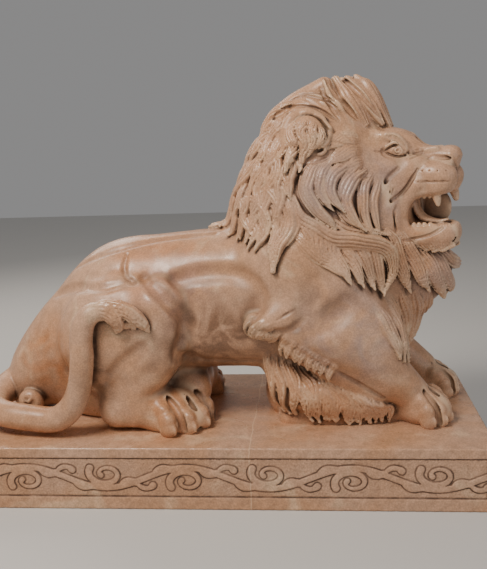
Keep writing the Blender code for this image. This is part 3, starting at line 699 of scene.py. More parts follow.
MANE_ROWS = (
    Row((15, 636), (165, 655), 7, (248, 268), (92, 120), (25, 14), 26, SLIM),
    Row((60, 612), (150, 606), 6, (262, 285), (80, 112), (10, -20), 30, SLIM),
    Row((48, 694), (180, 705), 7, (238, 264), (112, 124), (25, 10), 20, MIDDLING),
    Row((92, 765), (215, 775), 6, (236, 262), (114, 124), (25, 8), 16, MIDDLING),
    Row((132, 828), (225, 850), 5, (230, 250), (118, 120), (28, 12), 14, BROAD),
    Row((176, 880), (262, 872), 4, (226, 246), (104, 110), (28, 12), 10, BROAD),
    Row((250, 600), (300, 560), 4, (292, 300), (108, 96), (-20, -20), -8, MIDDLING),
)

# Each lock has its places on the lion's side as x and z, its cutting and, where a third value stands,
# how far beside the middle its points start.
MANE_LOCKS = (
    (((215, 905), (180, 882), (152, 846), (139, 812)), BROAD),
    (((200, 852), (152, 818), (120, 780), (95, 752)), BROAD),
    (((139, 774), (110, 734), (84, 694), (58, 662), (40, 640)), BROAD),
    (((182, 800), (167, 754), (140, 718), (112, 690)), MIDDLING),
    (((229, 778), (211, 730), (212, 690), (219, 654)), MIDDLING),
    (((222, 818), (212, 786), (222, 753), (236, 716)), SLIM),
    (((210, 760), (190, 716), (186, 676), (196, 640)), TRESS),
    (((160, 740), (136, 700), (126, 664), (136, 628)), TRESS),
    (((135, 690), (164, 674), (184, 638), (192, 600)), TRESS),
    (((88, 658), (130, 643), (160, 597), (158, 556)), TRESS),
    (((60, 660), (84, 634), (88, 590), (114, 552)), TRESS),
    (((44, 640), (30, 616), (6, 600), (-24, 588)), TRESS),
    (((20, 646), (4, 630), (-14, 612), (-34, 594)), replace(TRESS, lift=1.5)),
)

CHEEK_LOCKS = (
    (((290, 748), (266, 720), (260, 676), (280, 632), (318, 596), (334, 574)),
     Cutting(23, 15, 12, 16, strands=Strands(5, 3.2))),
    (((326, 752), (300, 722), (290, 684), (304, 650), (330, 622)),
     Cutting(17, 13, 8, 14, strands=Strands(4, 2.8))),
    (((376, 746), (336, 718), (318, 684), (332, 650), (356, 618)),
     Cutting(20, 15, 15, 16, strands=Strands(4, 3.0))),
    (((404, 736), (368, 712), (348, 676), (352, 634), (372, 600)),
     Cutting(16, 12, 6, 12, strands=Strands(4, 2.6))),
    (((416, 721), (378, 694), (362, 648), (380, 600), (412, 566)),
     Cutting(20, 15, 14, 16, strands=Strands(4, 3.0))),
    (((432, 712), (410, 679), (406, 628), (420, 574), (440, 545)),
     Cutting(18, 13, 9, 14, strands=Strands(4, 2.8))),
    (((452, 690), (436, 650), (438, 600), (452, 552)), Cutting(15, 11, 6, 12, strands=Strands(3, 2.6))),
)

TEMPLE_LOCKS = (
    (((408, 808), (370, 812), (336, 800), (312, 780)), FLAT),
    (((410, 780), (376, 778), (344, 762), (318, 742)), FLAT),
    (((410, 752), (380, 748), (352, 730)), FLAT),
)

GAP_LOCKS = (
    (((312, 600), (352, 574), (404, 556), (462, 536)), replace(TRESS, wide=16.0, lift=4)),
    (((340, 622), (376, 590), (424, 566), (478, 548)), replace(TRESS, wide=14.0, lift=3)),
)

LOWER_CUT = Cutting(23, 13, 9, 12, strands=Strands(5, 4.2, 0.2, 0.34))
LOWER_LOCKS = (
    (((222, 566), (274, 516), (322, 474), (362, 440)),
     Cutting(25, 13, 8, 16, strands=Strands(6, 3.6, 0.14, 0.34))),
    (((310, 540), (338, 486), (370, 422)), replace(LOWER_CUT, lift=8)),
    (((348, 538), (376, 476), (402, 408)), LOWER_CUT),
    (((386, 534), (412, 470), (432, 394)), LOWER_CUT),
    (((422, 530), (446, 460), (458, 378)), LOWER_CUT),
)

SIDE_LOCK = (((190, 662), (204, 612), (194, 560), (174, 512), (168, 462)),
             Cutting(32, 14, 7, 14, 0.22, Strands(6, 4.8, 0.14, 0.34)))
INNER_LOCK = (((206, 652), (232, 606), (222, 566), (208, 532)),
              Cutting(18, 11, 4, 10, strands=Strands(4, 3.0)))
SWOOP = (((213, 664), (230, 614), (266, 572), (320, 545), (384, 533), (440, 528), (478, 496), (486, 444),
          (456, 374)),
         Cutting(33, 15, 11, 20, strands=Strands(6, 4.6, 0.14, 0.34)))

BEARD_LOCKS = (
    (((470, 560), (494, 506), (516, 440), (540, 384)),
     Cutting(25, 15, 8, 12, 0.1, Strands(6, 4.0, 0.2, 0.34)), 200),
    (((506, 548), (536, 492), (566, 430), (590, 386)),
     Cutting(26, 15, 11, 12, 0.15, Strands(6, 4.0, 0.2, 0.34)), 200),
    (((545, 525), (580, 468), (612, 410), (638, 352)),
     Cutting(27, 15, 15, 10, 0.15, Strands(6, 4.0, 0.2, 0.34)), 180),
    (((590, 500), (620, 452), (646, 402), (664, 350)),
     Cutting(24, 15, 17, 8, 0.15, Strands(5, 4.0, 0.2, 0.34)), 160),
    (((618, 500), (650, 462), (678, 442), (702, 428)),
     Cutting(20, 15, 18, 6, 0.15, Strands(4, 3.6, 0.2, 0.34)), 120),
)

CHEST_CUT = Cutting(23, 12, 3, 8, 0.2, Strands(4, 5.0, 0.08, 0.34))
CHEST_LOCKS = (
    (((448, 352), (470, 300), (490, 248), (500, 208)), CHEST_CUT, 190),
    (((478, 372), (500, 312), (514, 254), (514, 196)), CHEST_CUT, 180),
    (((516, 380), (530, 318), (532, 256), (520, 186)), CHEST_CUT, 160),
    (((554, 380), (560, 320), (550, 258), (526, 190)), replace(CHEST_CUT, wide=26.0), 140),
    (((596, 372), (590, 318), (572, 266), (534, 204)), replace(CHEST_CUT, wide=24.0, lift=6), 110),
)

FRINGE_ROWS = (
    Row((120, 340), (330, 204), 11, (208, 232), (48, 38), (30, 26), 0,
        Cutting(13, 6, 1, 8, 0.1, Strands(3, 3.6, 0.12, 0.32))),
    Row((98, 326), (318, 190), 13, (216, 240), (62, 44), (38, 30), 0,
        Cutting(12, 9, 8, 14, 0.1, Strands(3, 4.2, 0.12, 0.32))),
)

GROUND_HAIR = Cutting(16, 13, 4, 14, 0.3, Strands(3, 5.0, 0.2, 0.34))
GROUND_ROWS = (
    Row((140, 214), (470, 62), 17, (250, 288), (206, 66), (46, 4), 26, GROUND_HAIR),
    Row((190, 150), (440, 58), 12, (280, 292), (152, 56), (22, 0), 22,
        replace(GROUND_HAIR, wide=14.0, lift=6)),
)


# The lion


@dataclass
class Region:
    """A block of the lion that is skinned on its own, so that what needs it is finer."""

    name: str
    low: tuple[float, float, float]
    high: tuple[float, float, float]
    step: float
    triangles: int


# Where the regions meet, in millimetres.
SEAM_X = -34.0
SEAM_Z = 432.0
FACE_X = 392.0
MANE_Y = 64.0
REGIONS = (
    Region("lion_hindquarters", WHOLE_LOW, (SEAM_X, WHOLE_HIGH[1], WHOLE_HIGH[2]), 3.9, 130_000),
    Region("lion_forequarters", (SEAM_X, WHOLE_LOW[1], WHOLE_LOW[2]),
           (WHOLE_HIGH[0], WHOLE_HIGH[1], SEAM_Z), 3.1, 192_000),
    Region("lion_mane", (SEAM_X, WHOLE_LOW[1], SEAM_Z), (FACE_X, MANE_Y, WHOLE_HIGH[2]), 2.4, 185_000),
    Region("lion_face", (FACE_X, WHOLE_LOW[1], SEAM_Z), (WHOLE_HIGH[0], MANE_Y, WHOLE_HIGH[2]), 2.1,
           185_000),
    Region("lion_far_mane", (SEAM_X, MANE_Y, SEAM_Z), WHOLE_HIGH, 3.6, 90_000),
)
SEAM_RUN = 10.0
SEAM_DIVE = 1.2
# The block of the face that its cut lines are laid on.
FACE_LOW = (430.0, -220.0, 470.0)
FACE_HIGH = (720.0, 150.0, 850.0)
FACE_STEP = 2.5
FACE_FROM = 100
FACE_STEPS = 40
FACE_STRIDE = 10
GROUND_SEED = 40
FRINGE_SEED = 60
MANE_SEED = 10
LUMP_SEED = 5


@dataclass
class Lion:
    """The lion: its forms in the order that a carver would rough them out and then cut them."""

    head_place: Placing = field(default_factory=lambda: Placing((448, -10, 735), -26))
    far_paw_ahead: float = 58.0
    carving: Carving = field(default_factory=Carving)
    face: Clay | None = None

    def carve(self) -> None:
        """Puts on all the forms."""
        self.body()
        for side in SIDES:
            self.hind_leg(side)
            self.hair_under_forearm(side)
            self.foreleg(side)
        self.tunnel()
        self.tail()
        self.body_lines()
        base = self.carving.draft.copied()
        self.lay_rows(GROUND_ROWS, base, 4, GROUND_SEED)
        self.lay_rows(FRINGE_ROWS, base, 3, FRINGE_SEED)
        self.mane_base()
        self.mane()
        self.head()
        self.crest()
        self.ears()

    def lay_rows(self, rows: tuple, base: Clay, blend: float, seed: int) -> None:
        """Presses the locks of some rows onto the clay over the base that they follow."""
        for number, row in enumerate(rows):
            for side in SIDES:
                for lock in row.laid(base, side, seed + number):
                    self.carving.add(lock, blend)

    def lay_locks(self, locks: tuple, base: Clay, blend: float = 4.0) -> None:
        """Presses named locks onto both sides."""
        for side in SIDES:
            for number, entry in enumerate(locks):
                out = entry[2] if len(entry) > 2 else PRESS_FROM
                self.carving.add(lock_through(base, entry[0], side, entry[1], out, 1.7 * number), blend)

    def body(self) -> None:
        """The trunk from the rump to the chest, with the belly nearly on the plinth."""
        clay, mid = self.carving, MIDDLE
        rump = [(-290, mid, 345, 158), (-430, mid, 250, 146), (-545, mid, 150, 118), (-608, mid, 85, 88)]
        clay.add(Limb(rump), 50)
        clay.add(Mass((-190, mid, 370), (270, 150, 170), pitch=3), 70)
        clay.add(Mass((60, mid, 372), (290, 172, 190), pitch=6), 80)
        clay.add(Mass((230, mid, 420), (200, 165, 180), pitch=10), 70)
        clay.add(Mass((330, mid, 240), (200, 125, 210)), 60)
        clay.add(Mass((430, mid, 320), (150, 115, 160)), 60)
        clay.add(Mass((270, mid, 60), (150, 125, 130)), 50)
        clay.add(Mass((-300, mid, 90), (260, 150, 130)), 50)
        for side in SIDES:
            flank = [(-260, side.y(55), 250, 95), (0, side.y(68), 246, 88), (260, side.y(60), 240, 90)]
            clay.add(Limb(flank), 70)

    def tunnel(self) -> None:
        """The gap right through under the belly, between the hind paw and the hair under the forearm."""
        for x, z, radius in ((20, 66, 40), (60, 92, 52)):
            self.carving.carve(Limb([(x, -400, z, radius), (x, 420, z, radius)], 1), 20)

    def hind_leg(self, side: Side) -> None:
        """A folded hind leg: the thigh over the shank, and the paw turned out."""
        clay, s, y = self.carving, side.value, side.y
        clay.add(Mass((-285, y(135), 262), (188, 108, 182), pitch=24), 22)
        clay.add(Mass((-178, y(172), 322), (84, 74, 118), pitch=-14), 35)
        clay.add(Limb([(-150, y(178), 250, 62), (-205, y(180), 165, 56), (-290, y(180), 95, 50)]), 30)
        clay.add(Limb([(-300, y(180), 56, 52), (-200, y(170), 60, 58), (-130, y(158), 58, 50)]), 30)
        clay.carve(Limb([(-120, y(262), 250, 22), (-190, y(268), 160, 26), (-300, y(262), 120, 20)]), 40)
        clay.add(Mass((-96, y(84), 84), (60, 50, 60)), 30)
        self.paw((-140, y(140), 0), s * 38, 1.34, 0.76, 1.22)

    def paw(self, heel: tuple, yaw: float, size: float, rise: float = 1.0, spread: float = 1.0) -> None:
        """A broad paw of four toes that stands on the plinth, with tendons over it and a claw on each toe.

        Args:
            heel: where its heel stands.
            yaw: the way it points, in degrees about Z.
            size: how large it is.
            rise: how tall it is for its size.
            spread: how far apart its toes are for its size.
        """
        clay, frame = self.carving, Placing(heel, yaw)
        up = size * rise

        def put(form: Mass | Limb, blend: float) -> None:
            clay.add(form.placed(frame), blend * size)

        put(Mass((0, 0, 38 * rise), (84 * size, 60 * size * spread, 52 * up)), 20)
        for across, ahead in ((-46, 20), (-16, 40), (16, 40), (46, 20)):
            a, b = across * size * spread, ahead * size
            put(Limb([(-44 * size, a * 0.6, 66 * up, 5 * size), (-10 * size, a * 0.8, 78 * up, 8 * size),
                      (b * 0.5, a * 0.95, 80 * up, 11 * size)]), 7)
            put(Mass((b * 0.6 + 4 * size, a, 64 * up), (28 * size, 15 * size, 23 * up)), 6)
            put(Mass((b + 20 * size, a * 1.04, 42 * up), (22 * size, 16 * size, 24 * up)), 5)
            put(Mass((b + 24 * size, a * 1.06, 18 * up), (23 * size, 16 * size, 24 * up)), 6)
            put(Limb([(b + 34 * size, a * 1.06, 36 * up, 5 * size),
                      (b + 45 * size, a * 1.07, 24 * up, 4.5 * size),
                      (b + 47 * size, a * 1.07, 9 * up, 2 * size)]), 2)
        for across in (-31, 0, 31):
            a = across * size * spread
            cut = Limb([(4 * size, a * 0.86, 98 * up, 3 * size), (24 * size, a * 0.95, 90 * up, 6 * size),
                        (44 * size, a * 0.99, 74 * up, 8 * size), (62 * size, a * 1.03, 48 * up, 8 * size),
                        (70 * size, a * 1.05, 12 * up, 8 * size)])
            clay.carve(cut.placed(frame), 4)

    def foreleg(self, side: Side) -> None:
        """A foreleg from the shoulder down to the elbow and on to the paw, further on the far side."""
        clay, s, y = self.carving, side.value, side.y
        ahead = 0 if side is Side.NEAR else self.far_paw_ahead
        clay.add(Mass((225, y(125), 420), (130, 90, 165), pitch=28), 50)
        clay.add(Mass((238, y(160), 470), (70, 52, 85), pitch=20), 35)
        clay.add(Limb([(330, y(150), 425, 56), (240, y(172), 368, 46), (160, y(186), 325, 40),
                       (118, y(188), 312, 34)]), 26)
        clay.add(Limb([(180, y(165), 318, 55), (290, y(166), 285, 80), (390, y(155), 225, 80),
                       (480 + ahead * 0.6, y(138), 145, 66), (545 + ahead, y(120), 84, 52)]), 30)
        clay.add(Limb([(330, y(130), 400, 84), (400, y(138), 320, 78), (452, y(134), 235, 68)]), 50)
        clay.add(Limb([(215, y(165), 240, 34), (320, y(158), 172, 40), (430, y(140), 95, 42)]), 35)
        clay.carve(Limb([(290, y(242), 428, 20), (268, y(246), 368, 27), (246, y(256), 314, 21)]), 40)
        clay.carve(Limb([(366, y(228), 362, 18), (322, y(246), 330, 26), (276, y(260), 300, 20)]), 40)
        self.paw((576 + ahead, y(116), 0), s * 32 if side is Side.NEAR else -8, 1.02, 1.04, 1.06)

    def hair_under_forearm(self, side: Side) -> None:
        """The wall of hair that fills the space between a forearm and the plinth."""
        y = side.y
        self.carving.add(Limb([(168, y(112), 160, 44), (214, y(118), 96, 58), (320, y(118), 74, 58),
                               (420, y(108), 52, 50), (496, y(100), 30, 34)]), 26)
        self.carving.add(Limb([(200, y(112), 6, 38), (320, y(116), 6, 42), (430, y(108), 6, 38),
                               (496, y(100), 6, 28)]), 26)

    def tail(self) -> None:
        """The tail, from behind the rump round on the near side, then up over the thigh to its tuft."""
        root = [(-600, MIDDLE, 110, 60), (-660, -20, 90, 50), (-690, -90, 72, 42), (-672, -165, 62, 38)]
        lying = [(-620, -205, 56, 38), (-540, -220, 50, 38), (-482, -228, 48, 37), (-446, -234, 60, 37)]
        rising = [(-410, -242, 95, 36), (-388, -247, 140, 34), (-376, -250, 190, 33), (-369, -252, 240, 33),
                  (-368, -250, 290, 32), (-358, -246, 335, 31)]
        turning = [(-334, -240, 362, 29), (-304, -238, 366, 26), (-276, -238, 358, 22)]
        self.carving.add(Limb(root + lying + rising + turning, 6), 5)
        out = (0, Side.NEAR.value, 0)
        tufts = (
            ([(-290, -236, 362), (-256, -240, 350), (-226, -242, 332), (-216, -240, 314)], 30, 12, 6),
            ([(-330, -246, 366), (-298, -252, 372), (-268, -256, 350), (-262, -252, 326),
              (-270, -246, 304)], 26, 17, 5),
            ([(-300, -246, 380), (-254, -252, 378), (-216, -256, 358), (-190, -252, 330),
              (-176, -244, 306)], 24, 17, 5),
        )
        for line, wide, thick, strands in tufts:
            points = smooth_path(line, 5)
            share = np.linspace(0, 1, len(points))
            taper = np.clip(1.05 - share ** 4, 0.16, 1)
            facing = np.tile(out, (len(points), 1)).astype(float)
            cut = Strands(strands, 4.6, 0.1, 0.34)
            self.carving.add(Lock(points, facing, wide * taper, thick * taper, cut, 10), 3)

    def body_lines(self) -> None:
        """The lines and folds of the skin: spine, haunch, flank, ribs, belly and elbow."""
        clay = self.carving
        for side in SIDES:
            clay.groove([(-446, 447), (-373, 485), (-302, 509), (-200, 530), (-103, 541), (-10, 548)], side,
                        6, 14, 1, 90)
            clay.groove([(-500, 372), (-479, 385), (-428, 403), (-369, 417), (-311, 421), (-240, 433)],
                        side, 11, 20, 4)
            clay.groove([(-262, 500), (-266, 468), (-255, 444), (-228, 428)], side, 4, 12, 0)
            clay.groove([(-205, 440), (-158, 420), (-114, 371), (-90, 326), (-94, 272), (-104, 223),
                         (-76, 196)], side, 18, 24, 2)
            clay.groove([(-72, 215), (-49, 192), (-10, 190), (60, 186), (117, 188)], side, 5, 12, 1)
            clay.groove([(-110, 432), (-44, 446), (26, 448), (85, 436), (122, 400), (118, 358), (96, 322)],
                        side, 8, 44, 4)
            clay.groove([(-180, 277), (-229, 239), (-278, 201), (-312, 153)], side, 12, 22, 5, 300)
            clay.groove([(126, 300), (171, 292), (211, 302), (242, 326)], side, 7, 16, 1, 300)
            clay.groove([(340, 172), (404, 130), (466, 88)], side, 4, 8, 0, 300)
            for rise in (0, 12, 24):
                clay.groove([(170 + rise, 330 + rise * 0.6), (200 + rise, 344 + rise * 0.6)], side, 2, 5, 0,
                            300)
        lump = Mass((-586, -100, 56), (38, 30, 40))
        clay.add(lump, 12)
        chance = np.random.default_rng(LUMP_SEED)
        for _ in range(22):
            spot = lump.centre + np.array([1, 0, 1]) * chance.uniform(-30, 30, 3) + (0, -27, 8)
            clay.carve(Mass(spot, (7, 4, 5), yaw=40 * chance.uniform(-1, 1)), 5)

    def mane_base(self) -> None:
        """The mass of the mane, which the locks are laid on."""
        clay = self.carving
        clay.add(Mass((285, 5, 640), (212, 186, 282), pitch=-14), 50)
        clay.add(Mass((400, 0, 560), (190, 172, 220)), 50)
        clay.add(Mass((490, 0, 440), (150, 120, 140), pitch=-20), 50)
        clay.add(Mass((575, -10, 430), (95, 88, 110), pitch=-30), 40)
        clay.add(Mass((322, 0, 862), (128, 96, 92), pitch=12), 40)
        clay.add(Mass((262, 0, 838), (104, 100, 96), pitch=10), 40)
        clay.add(Mass((392, -4, 880), (84, 72, 92)), 30)
        clay.add(Mass((180, 5, 595), (130, 140, 150), pitch=-30), 40)

    def mane(self) -> None:
        """The locks of the mane, beard and chest, from the lowest to those that lie over them."""
        base = self.carving.draft.copied()
        self.lay_locks(CHEST_LOCKS, base)
        self.lay_rows(MANE_ROWS, base, 3, MANE_SEED)
        self.lay_locks(MANE_LOCKS, base, 2.5)
        self.lay_locks((INNER_LOCK, SIDE_LOCK), base)
        self.lay_locks(BEARD_LOCKS, base, 3.0)
        self.lay_locks(LOWER_LOCKS, base, 3.0)
        self.lay_locks(GAP_LOCKS, base)
        self.lay_locks(TEMPLE_LOCKS, base)
        self.lay_locks(CHEEK_LOCKS[::-1], base, 3.0)
        self.lay_locks((SWOOP,), base, 3.0)

    def crest(self) -> None:
        """The flutes of hair that go up from the forehead and back over the crown."""
        crown = Placing((440, -10, 850), -12)
        self.carving.add(Limb([(198, -24, 888, 23), (250, -28, 918, 27), (312, -30, 948, 28)]), 14)
        flutes = (
            ([(352, -104, 836), (304, -104, 868), (252, -84, 892), (196, -50, 890)], 30, 12, 4, 3.0),
            ([(366, -98, 846), (322, -92, 894), (270, -64, 926), (206, -34, 906)], 34, 16, 3, 3.0),
            ([(374, -96, 846), (338, -92, 904), (314, -56, 966)], 19, 18, 2, 4.0),
            ([(424, -84, 842), (380, -78, 910), (342, -42, 976)], 24, 18, 3, 5.0),
            ([(470, -64, 842), (424, -62, 912), (376, -30, 976)], 23, 18, 2, 5.0),
            ([(494, -40, 836), (456, -40, 908), (430, -28, 956), (402, -14, 980)], 25, 16, 3, 5.0),
        )
        for mirror in (False, True):
            for number, (line, wide, thick, strands, depth) in enumerate(flutes):
                points = smooth_path(line, 6)
                if mirror:
                    points = np.array([crown.mirrored(p) for p in points])
                middle = np.array([390.0, -8.0 + 18 * mirror, 850.0])
                normals = points - middle
                normals[:, 0] *= 0.5
                share = np.linspace(0, 1, len(points))
                taper = np.minimum(1, 0.45 + 1.6 * share) * np.clip(1.06 - share ** 5, 0.55, 1)
                lock = Lock(points - normals * 0.06, normals, wide * taper, thick * taper,
                            Strands(strands, depth, 0.05, 0.34), -16 if mirror else 16, number)
                self.carving.add(lock, 4)
        for side in SIDES:
            for line, radius in (([(316, 972), (349, 918), (398, 858)], 9),
                                 ([(364, 968), (408, 926), (466, 858)], 9),
                                 ([(300, 946), (322, 904), (352, 858)], 6)):
                self.carving.groove(line, side, radius, 4)
            self.carving.groove([(172, 874), (196, 886), (224, 904)], side, 8, 4)
            for line, radius in (([(352, 850), (300, 886), (246, 900), (190, 894)], 4.5),
                                 ([(330, 850), (286, 874), (240, 884), (196, 876)], 4),
                                 ([(366, 862), (318, 908), (262, 926), (206, 912)], 5.5),
                                 ([(338, 906), (292, 932), (240, 930)], 4)):
                self.carving.groove(line, side, radius, 3)

    def ears(self) -> None:
        """The ears: broad, filled with long wavy hair, with a corner in front and a slit below."""
        clay = self.carving
        for side in SIDES:
            ahead = 0 if side is Side.NEAR else 34
            clay.add(Mass((262 + ahead, side.y(146), 812), (52, 24, 60), yaw=-18), 14)
            base = clay.draft.copied()

            def moved(places: list) -> list:
                return [(x + ahead, z) for x, z in places]

            hair = Cutting(18, 13, 5, 10, 0.1, Strands(4, 4.2, 0.3, 0.32))
            fill = (
                ([(234, 854), (220, 830), (226, 794), (216, 756), (206, 724)], hair),
                ([(258, 856), (248, 828), (258, 796), (250, 760), (236, 726)], hair),
                ([(280, 850), (278, 826), (280, 800), (268, 768)], replace(hair, wide=16.0)),
                ([(298, 840), (300, 820), (296, 802), (286, 788)], replace(hair, wide=12.0)),
            )
            rim = moved([(204, 796), (206, 838), (228, 868), (262, 876), (298, 862), (324, 832)])
            clay.add(lock_through(base, rim, side, Cutting(15, 13, 6, 4, 0.3, Strands(1, 0.0))), 8)
            for number, (places, cutting) in enumerate(fill):
                clay.add(lock_through(base, moved(places), side, cutting, PRESS_FROM, number), 2.5)
            front = moved([(318, 842), (322, 818), (308, 796), (294, 786)])
            clay.add(lock_through(base, front, side, Cutting(8, 10, 6, 0, 0.3, Strands(1, 0.0))), 5)
            corner = moved([(284, 776), (296, 770), (308, 776), (310, 788), (300, 794)])
            clay.add(lock_through(base, corner, side, Cutting(5, 7, 4, 0, 0.5, Strands(1, 0.0))), 3)
            clay.groove(moved([(292, 784), (302, 783)]), side, 5, 3, 2)
            clay.groove(moved([(270, 748), (294, 752), (318, 762)]), side, 5, 3, 1)
            for line in ([(343, 735), (360, 744), (380, 754)], [(334, 802), (350, 798), (366, 790)],
                         [(402, 702), (418, 714)], [(408, 698), (424, 710)],
                         [(350, 824), (372, 812), (386, 796)]):
                clay.groove(line, side, 3.2, 3)

    def head(self) -> None:
        """The head, turned towards the near side, with its mouth wide open."""
        self.skull()
        self.mouth()
        for side in SIDES:
            self.lips(side.value)
            self.snarl(side.value)
            self.eye(side.value)
            self.nostril(side.value)
        self.cut(Limb([(250, 0, -4, 4), (248, 0, -62, 4)], 1), 5)
        self.face = self.carving.shaped(FACE_LOW, FACE_HIGH, FACE_STEP)
        for side in SIDES:
            self.face_lines(side.value)
            self.whisker_dots(side.value)
        self.chin_tuft()

    def on_face(self, places: list, s: int, above: float = 0.0) -> np.ndarray:
        """Where places given as forward and up in the head's frame meet one side of the face."""
        way = self.head_place.way((0, s, 0))
        at = self.head_place.path([(f, s * FACE_FROM, u) for f, u in places])
        for _ in range(FACE_STEPS):
            at = at - way * np.clip(self.face.read(at), 0, FACE_STRIDE)[:, None]
        return at + way * above

    def score(self, places: list, s: int, radius: float, blend: float, above: float = 0.0) -> None:
        """Cuts a line into one side of the face, narrower at both its ends."""
        at = self.on_face(places, s, above)
        self.carving.carve(Limb(np.hstack([at, narrowed(radius, len(at), 0.4)]), 1), blend)

    def face_lines(self, s: int) -> None:
        """The cut lines of one side of the face: brow, lids, iris, snarl, whiskers and lips."""
        self.score([(70, 76), (88, 72), (104, 60), (116, 42), (122, 28)], s, 6.0, 4)
        self.score([(60, 34), (76, 45), (92, 49), (106, 40), (116, 24)], s, 2.8, 1)
        self.score([(62, 33), (78, 26), (97, 21), (116, 22)], s, 2.6, 1)
        self.score([(56, 34), (42, 37)], s, 2.6, 2)
        rim = [(98 + 9 * math.sin(a), 36 + 9 * math.cos(a)) for a in np.linspace(0, 2 * math.pi, 9)]
        self.carving.carve(Limb([(*at, 2.8) for at in self.on_face(rim, s)], 1), 1)
        self.carving.carve(Mass(self.on_face([(100, 37), (100.5, 37.5)], s)[0], (5.0, 6.5, 5.5)), 1)
        self.score([(152, -14), (140, -40), (124, -66), (102, -88), (82, -102), (64, -112)], s, 5.0, 4)
        self.score([(104, -10), (82, -36), (62, -68), (56, -92)], s, 3.6, 9)
        self.score([(150, -46), (190, -48), (236, -47)], s, 2.4, 3)
        self.score([(104, -112), (98, -146), (106, -180)], s, 2.6, 6)
        self.score([(112, -206), (146, -203), (182, -193), (204, -180), (222, -162)], s, 5.0, 3)
        for rise in (0, 11, 22):
            self.score([(130 + rise * 0.4, 14 + rise), (152 + rise * 0.4, 25 + rise * 0.7)], s, 1.8, 5)
        for f, u in ((74, -94), (83, -90), (92, -82)):
            self.score([(f, u), (f + 2, u + 10), (f + 5, u + 22)], s, 2.3, 1.5)

    def put(self, form: Mass | Limb, blend: float) -> None:
        """Adds a form given in the head's own frame."""
        self.carving.add(form.placed(self.head_place), blend)

    def cut(self, form: Mass | Limb, blend: float) -> None:
        """Carves a form given in the head's own frame."""
        self.carving.carve(form.placed(self.head_place), blend)

    def skull(self) -> None:
        """The skull, cheeks, bridge and end of the nose, whisker pads and jaw."""
        put = self.put
        put(Mass((10, 0, 15), (118, 98, 90)), 30)
        put(Mass((70, 0, 42), (60, 56, 46)), 20)
        put(Limb([(85, 0, 36, 44), (150, 0, 14, 37), (205, 0, 12, 33), (224, 0, 12, 30)]), 22)
        put(Mass((228, 0, 20), (20, 32, 20)), 8)
        for s in (-1, 1):
            put(Mass((50, s * 74, -6), (42, 21, 19)), 20)
            put(Mass((15, s * 68, -70), (80, 44, 92)), 30)
            put(Mass((184, s * 35, -34), (62, 34, 40)), 14)
            put(Mass((222, s * 27, -40), (27, 26, 36)), 9)
            put(Mass((190, s * 38, -62), (46, 27, 23)), 10)
            put(Limb([(150, s * 56, -56, 22), (126, s * 60, -84, 20), (112, s * 62, -122, 18)]), 14)
            put(Limb([(28, s * 62, 78, 15), (66, s * 58, 70, 15), (92, s * 50, 53, 12),
                      (114, s * 38, 26, 9)]), 9)
            put(Limb([(70, s * 52, -152, 30), (112, s * 50, -188, 22), (160, s * 38, -204, 22),
                      (204, s * 22, -198, 24)]), 14)
            put(Limb([(158, s * 26, 36, 7), (190, s * 24, 40, 6)]), 10)
        put(Mass((226, 0, 33), (22, 24, 13), pitch=-12), 5)
        put(Mass((222, 0, -188), (33, 42, 40)), 12)
        self.cut(Limb([(128, 0, 64, 3), (150, 0, 52, 4), (196, 0, 50, 3)]), 12)

    def mouth(self) -> None:
        """The open mouth: its hollow, which the far cheek closes at the back, the tongue and the teeth."""
        self.cut(Mass((204, -34, -128), (82, 82, 42)), 7)
        self.cut(Mass((163, -44, -150), (40, 62, 34)), 8)
        self.put(Mass((152, 60, -126), (58, 15, 56)), 8)
        self.cut(Mass((262, 36, -126), (54, 66, 38)), 7)
        tongue = [(124, 0, -96), (131, 0, -128), (150, 0, -151), (184, 0, -160), (216, 0, -155)]
        line = smooth_path(tongue, 5)
        points = np.array([self.head_place.point(p) for p in line])
        along = np.gradient(line, axis=0)
        normals = np.stack([-along[:, 2], 0 * along[:, 0], along[:, 0]], -1) @ turned(self.head_place.yaw).T
        share = np.linspace(0, 1, len(points))
        wide, thick = 27 * np.clip(1.1 - share ** 3, 0.4, 1), 9 * np.clip(1.2 - share ** 3, 0.5, 1)
        self.carving.add(Lock(points, normals, wide, thick, Strands(2, 3.0, 0.0, 0.5)), 4)
        self.put(Limb([(140, 0, -178, 22), (180, 0, -184, 22), (206, 0, -178, 18)]), 6)
        for s in (-1, 1):
            self.put(Limb([(134, s * 50, -176, 9), (160, s * 46, -180, 10), (190, s * 34, -172, 9)]), 4)
            for f, size in ((138, 7), (151, 7), (165, 8), (180, 8)):
                self.put(Mass((f, s * (48 - (f - 144) * 0.3), -168), (size, 7, 9)), 2)
            for f, size in ((150, 7), (165, 7), (179, 6)):
                self.put(Mass((f, s * (48 - (f - 150) * 0.2), -86), (size, 6, 9)), 2)
        self.put(Limb([(192, -37, -74, 14), (198, -38, -94, 11), (201, -38, -110, 6)]), 3)
        self.put(Limb([(216, 40, -66, 14), (223, 40, -84, 12), (228, 38, -100, 8)]), 3)

    def lips(self, s: int) -> None:
        """The rolled lips round one side of the mouth."""
        upper = [(228, s * 22, -66, 10), (200, s * 42, -71, 11), (165, s * 54, -76, 11),
                 (140, s * 60, -84, 12)]
        corner = [(119, s * 64, -98, 12), (112, s * 65, -122, 12), (114, s * 64, -152, 12),
                  (124, s * 60, -180, 12)]
        lower = [(152, s * 50, -191, 12), (190, s * 38, -186, 11), (220, s * 22, -174, 10)]
        self.put(Limb(upper + corner + lower), 9)

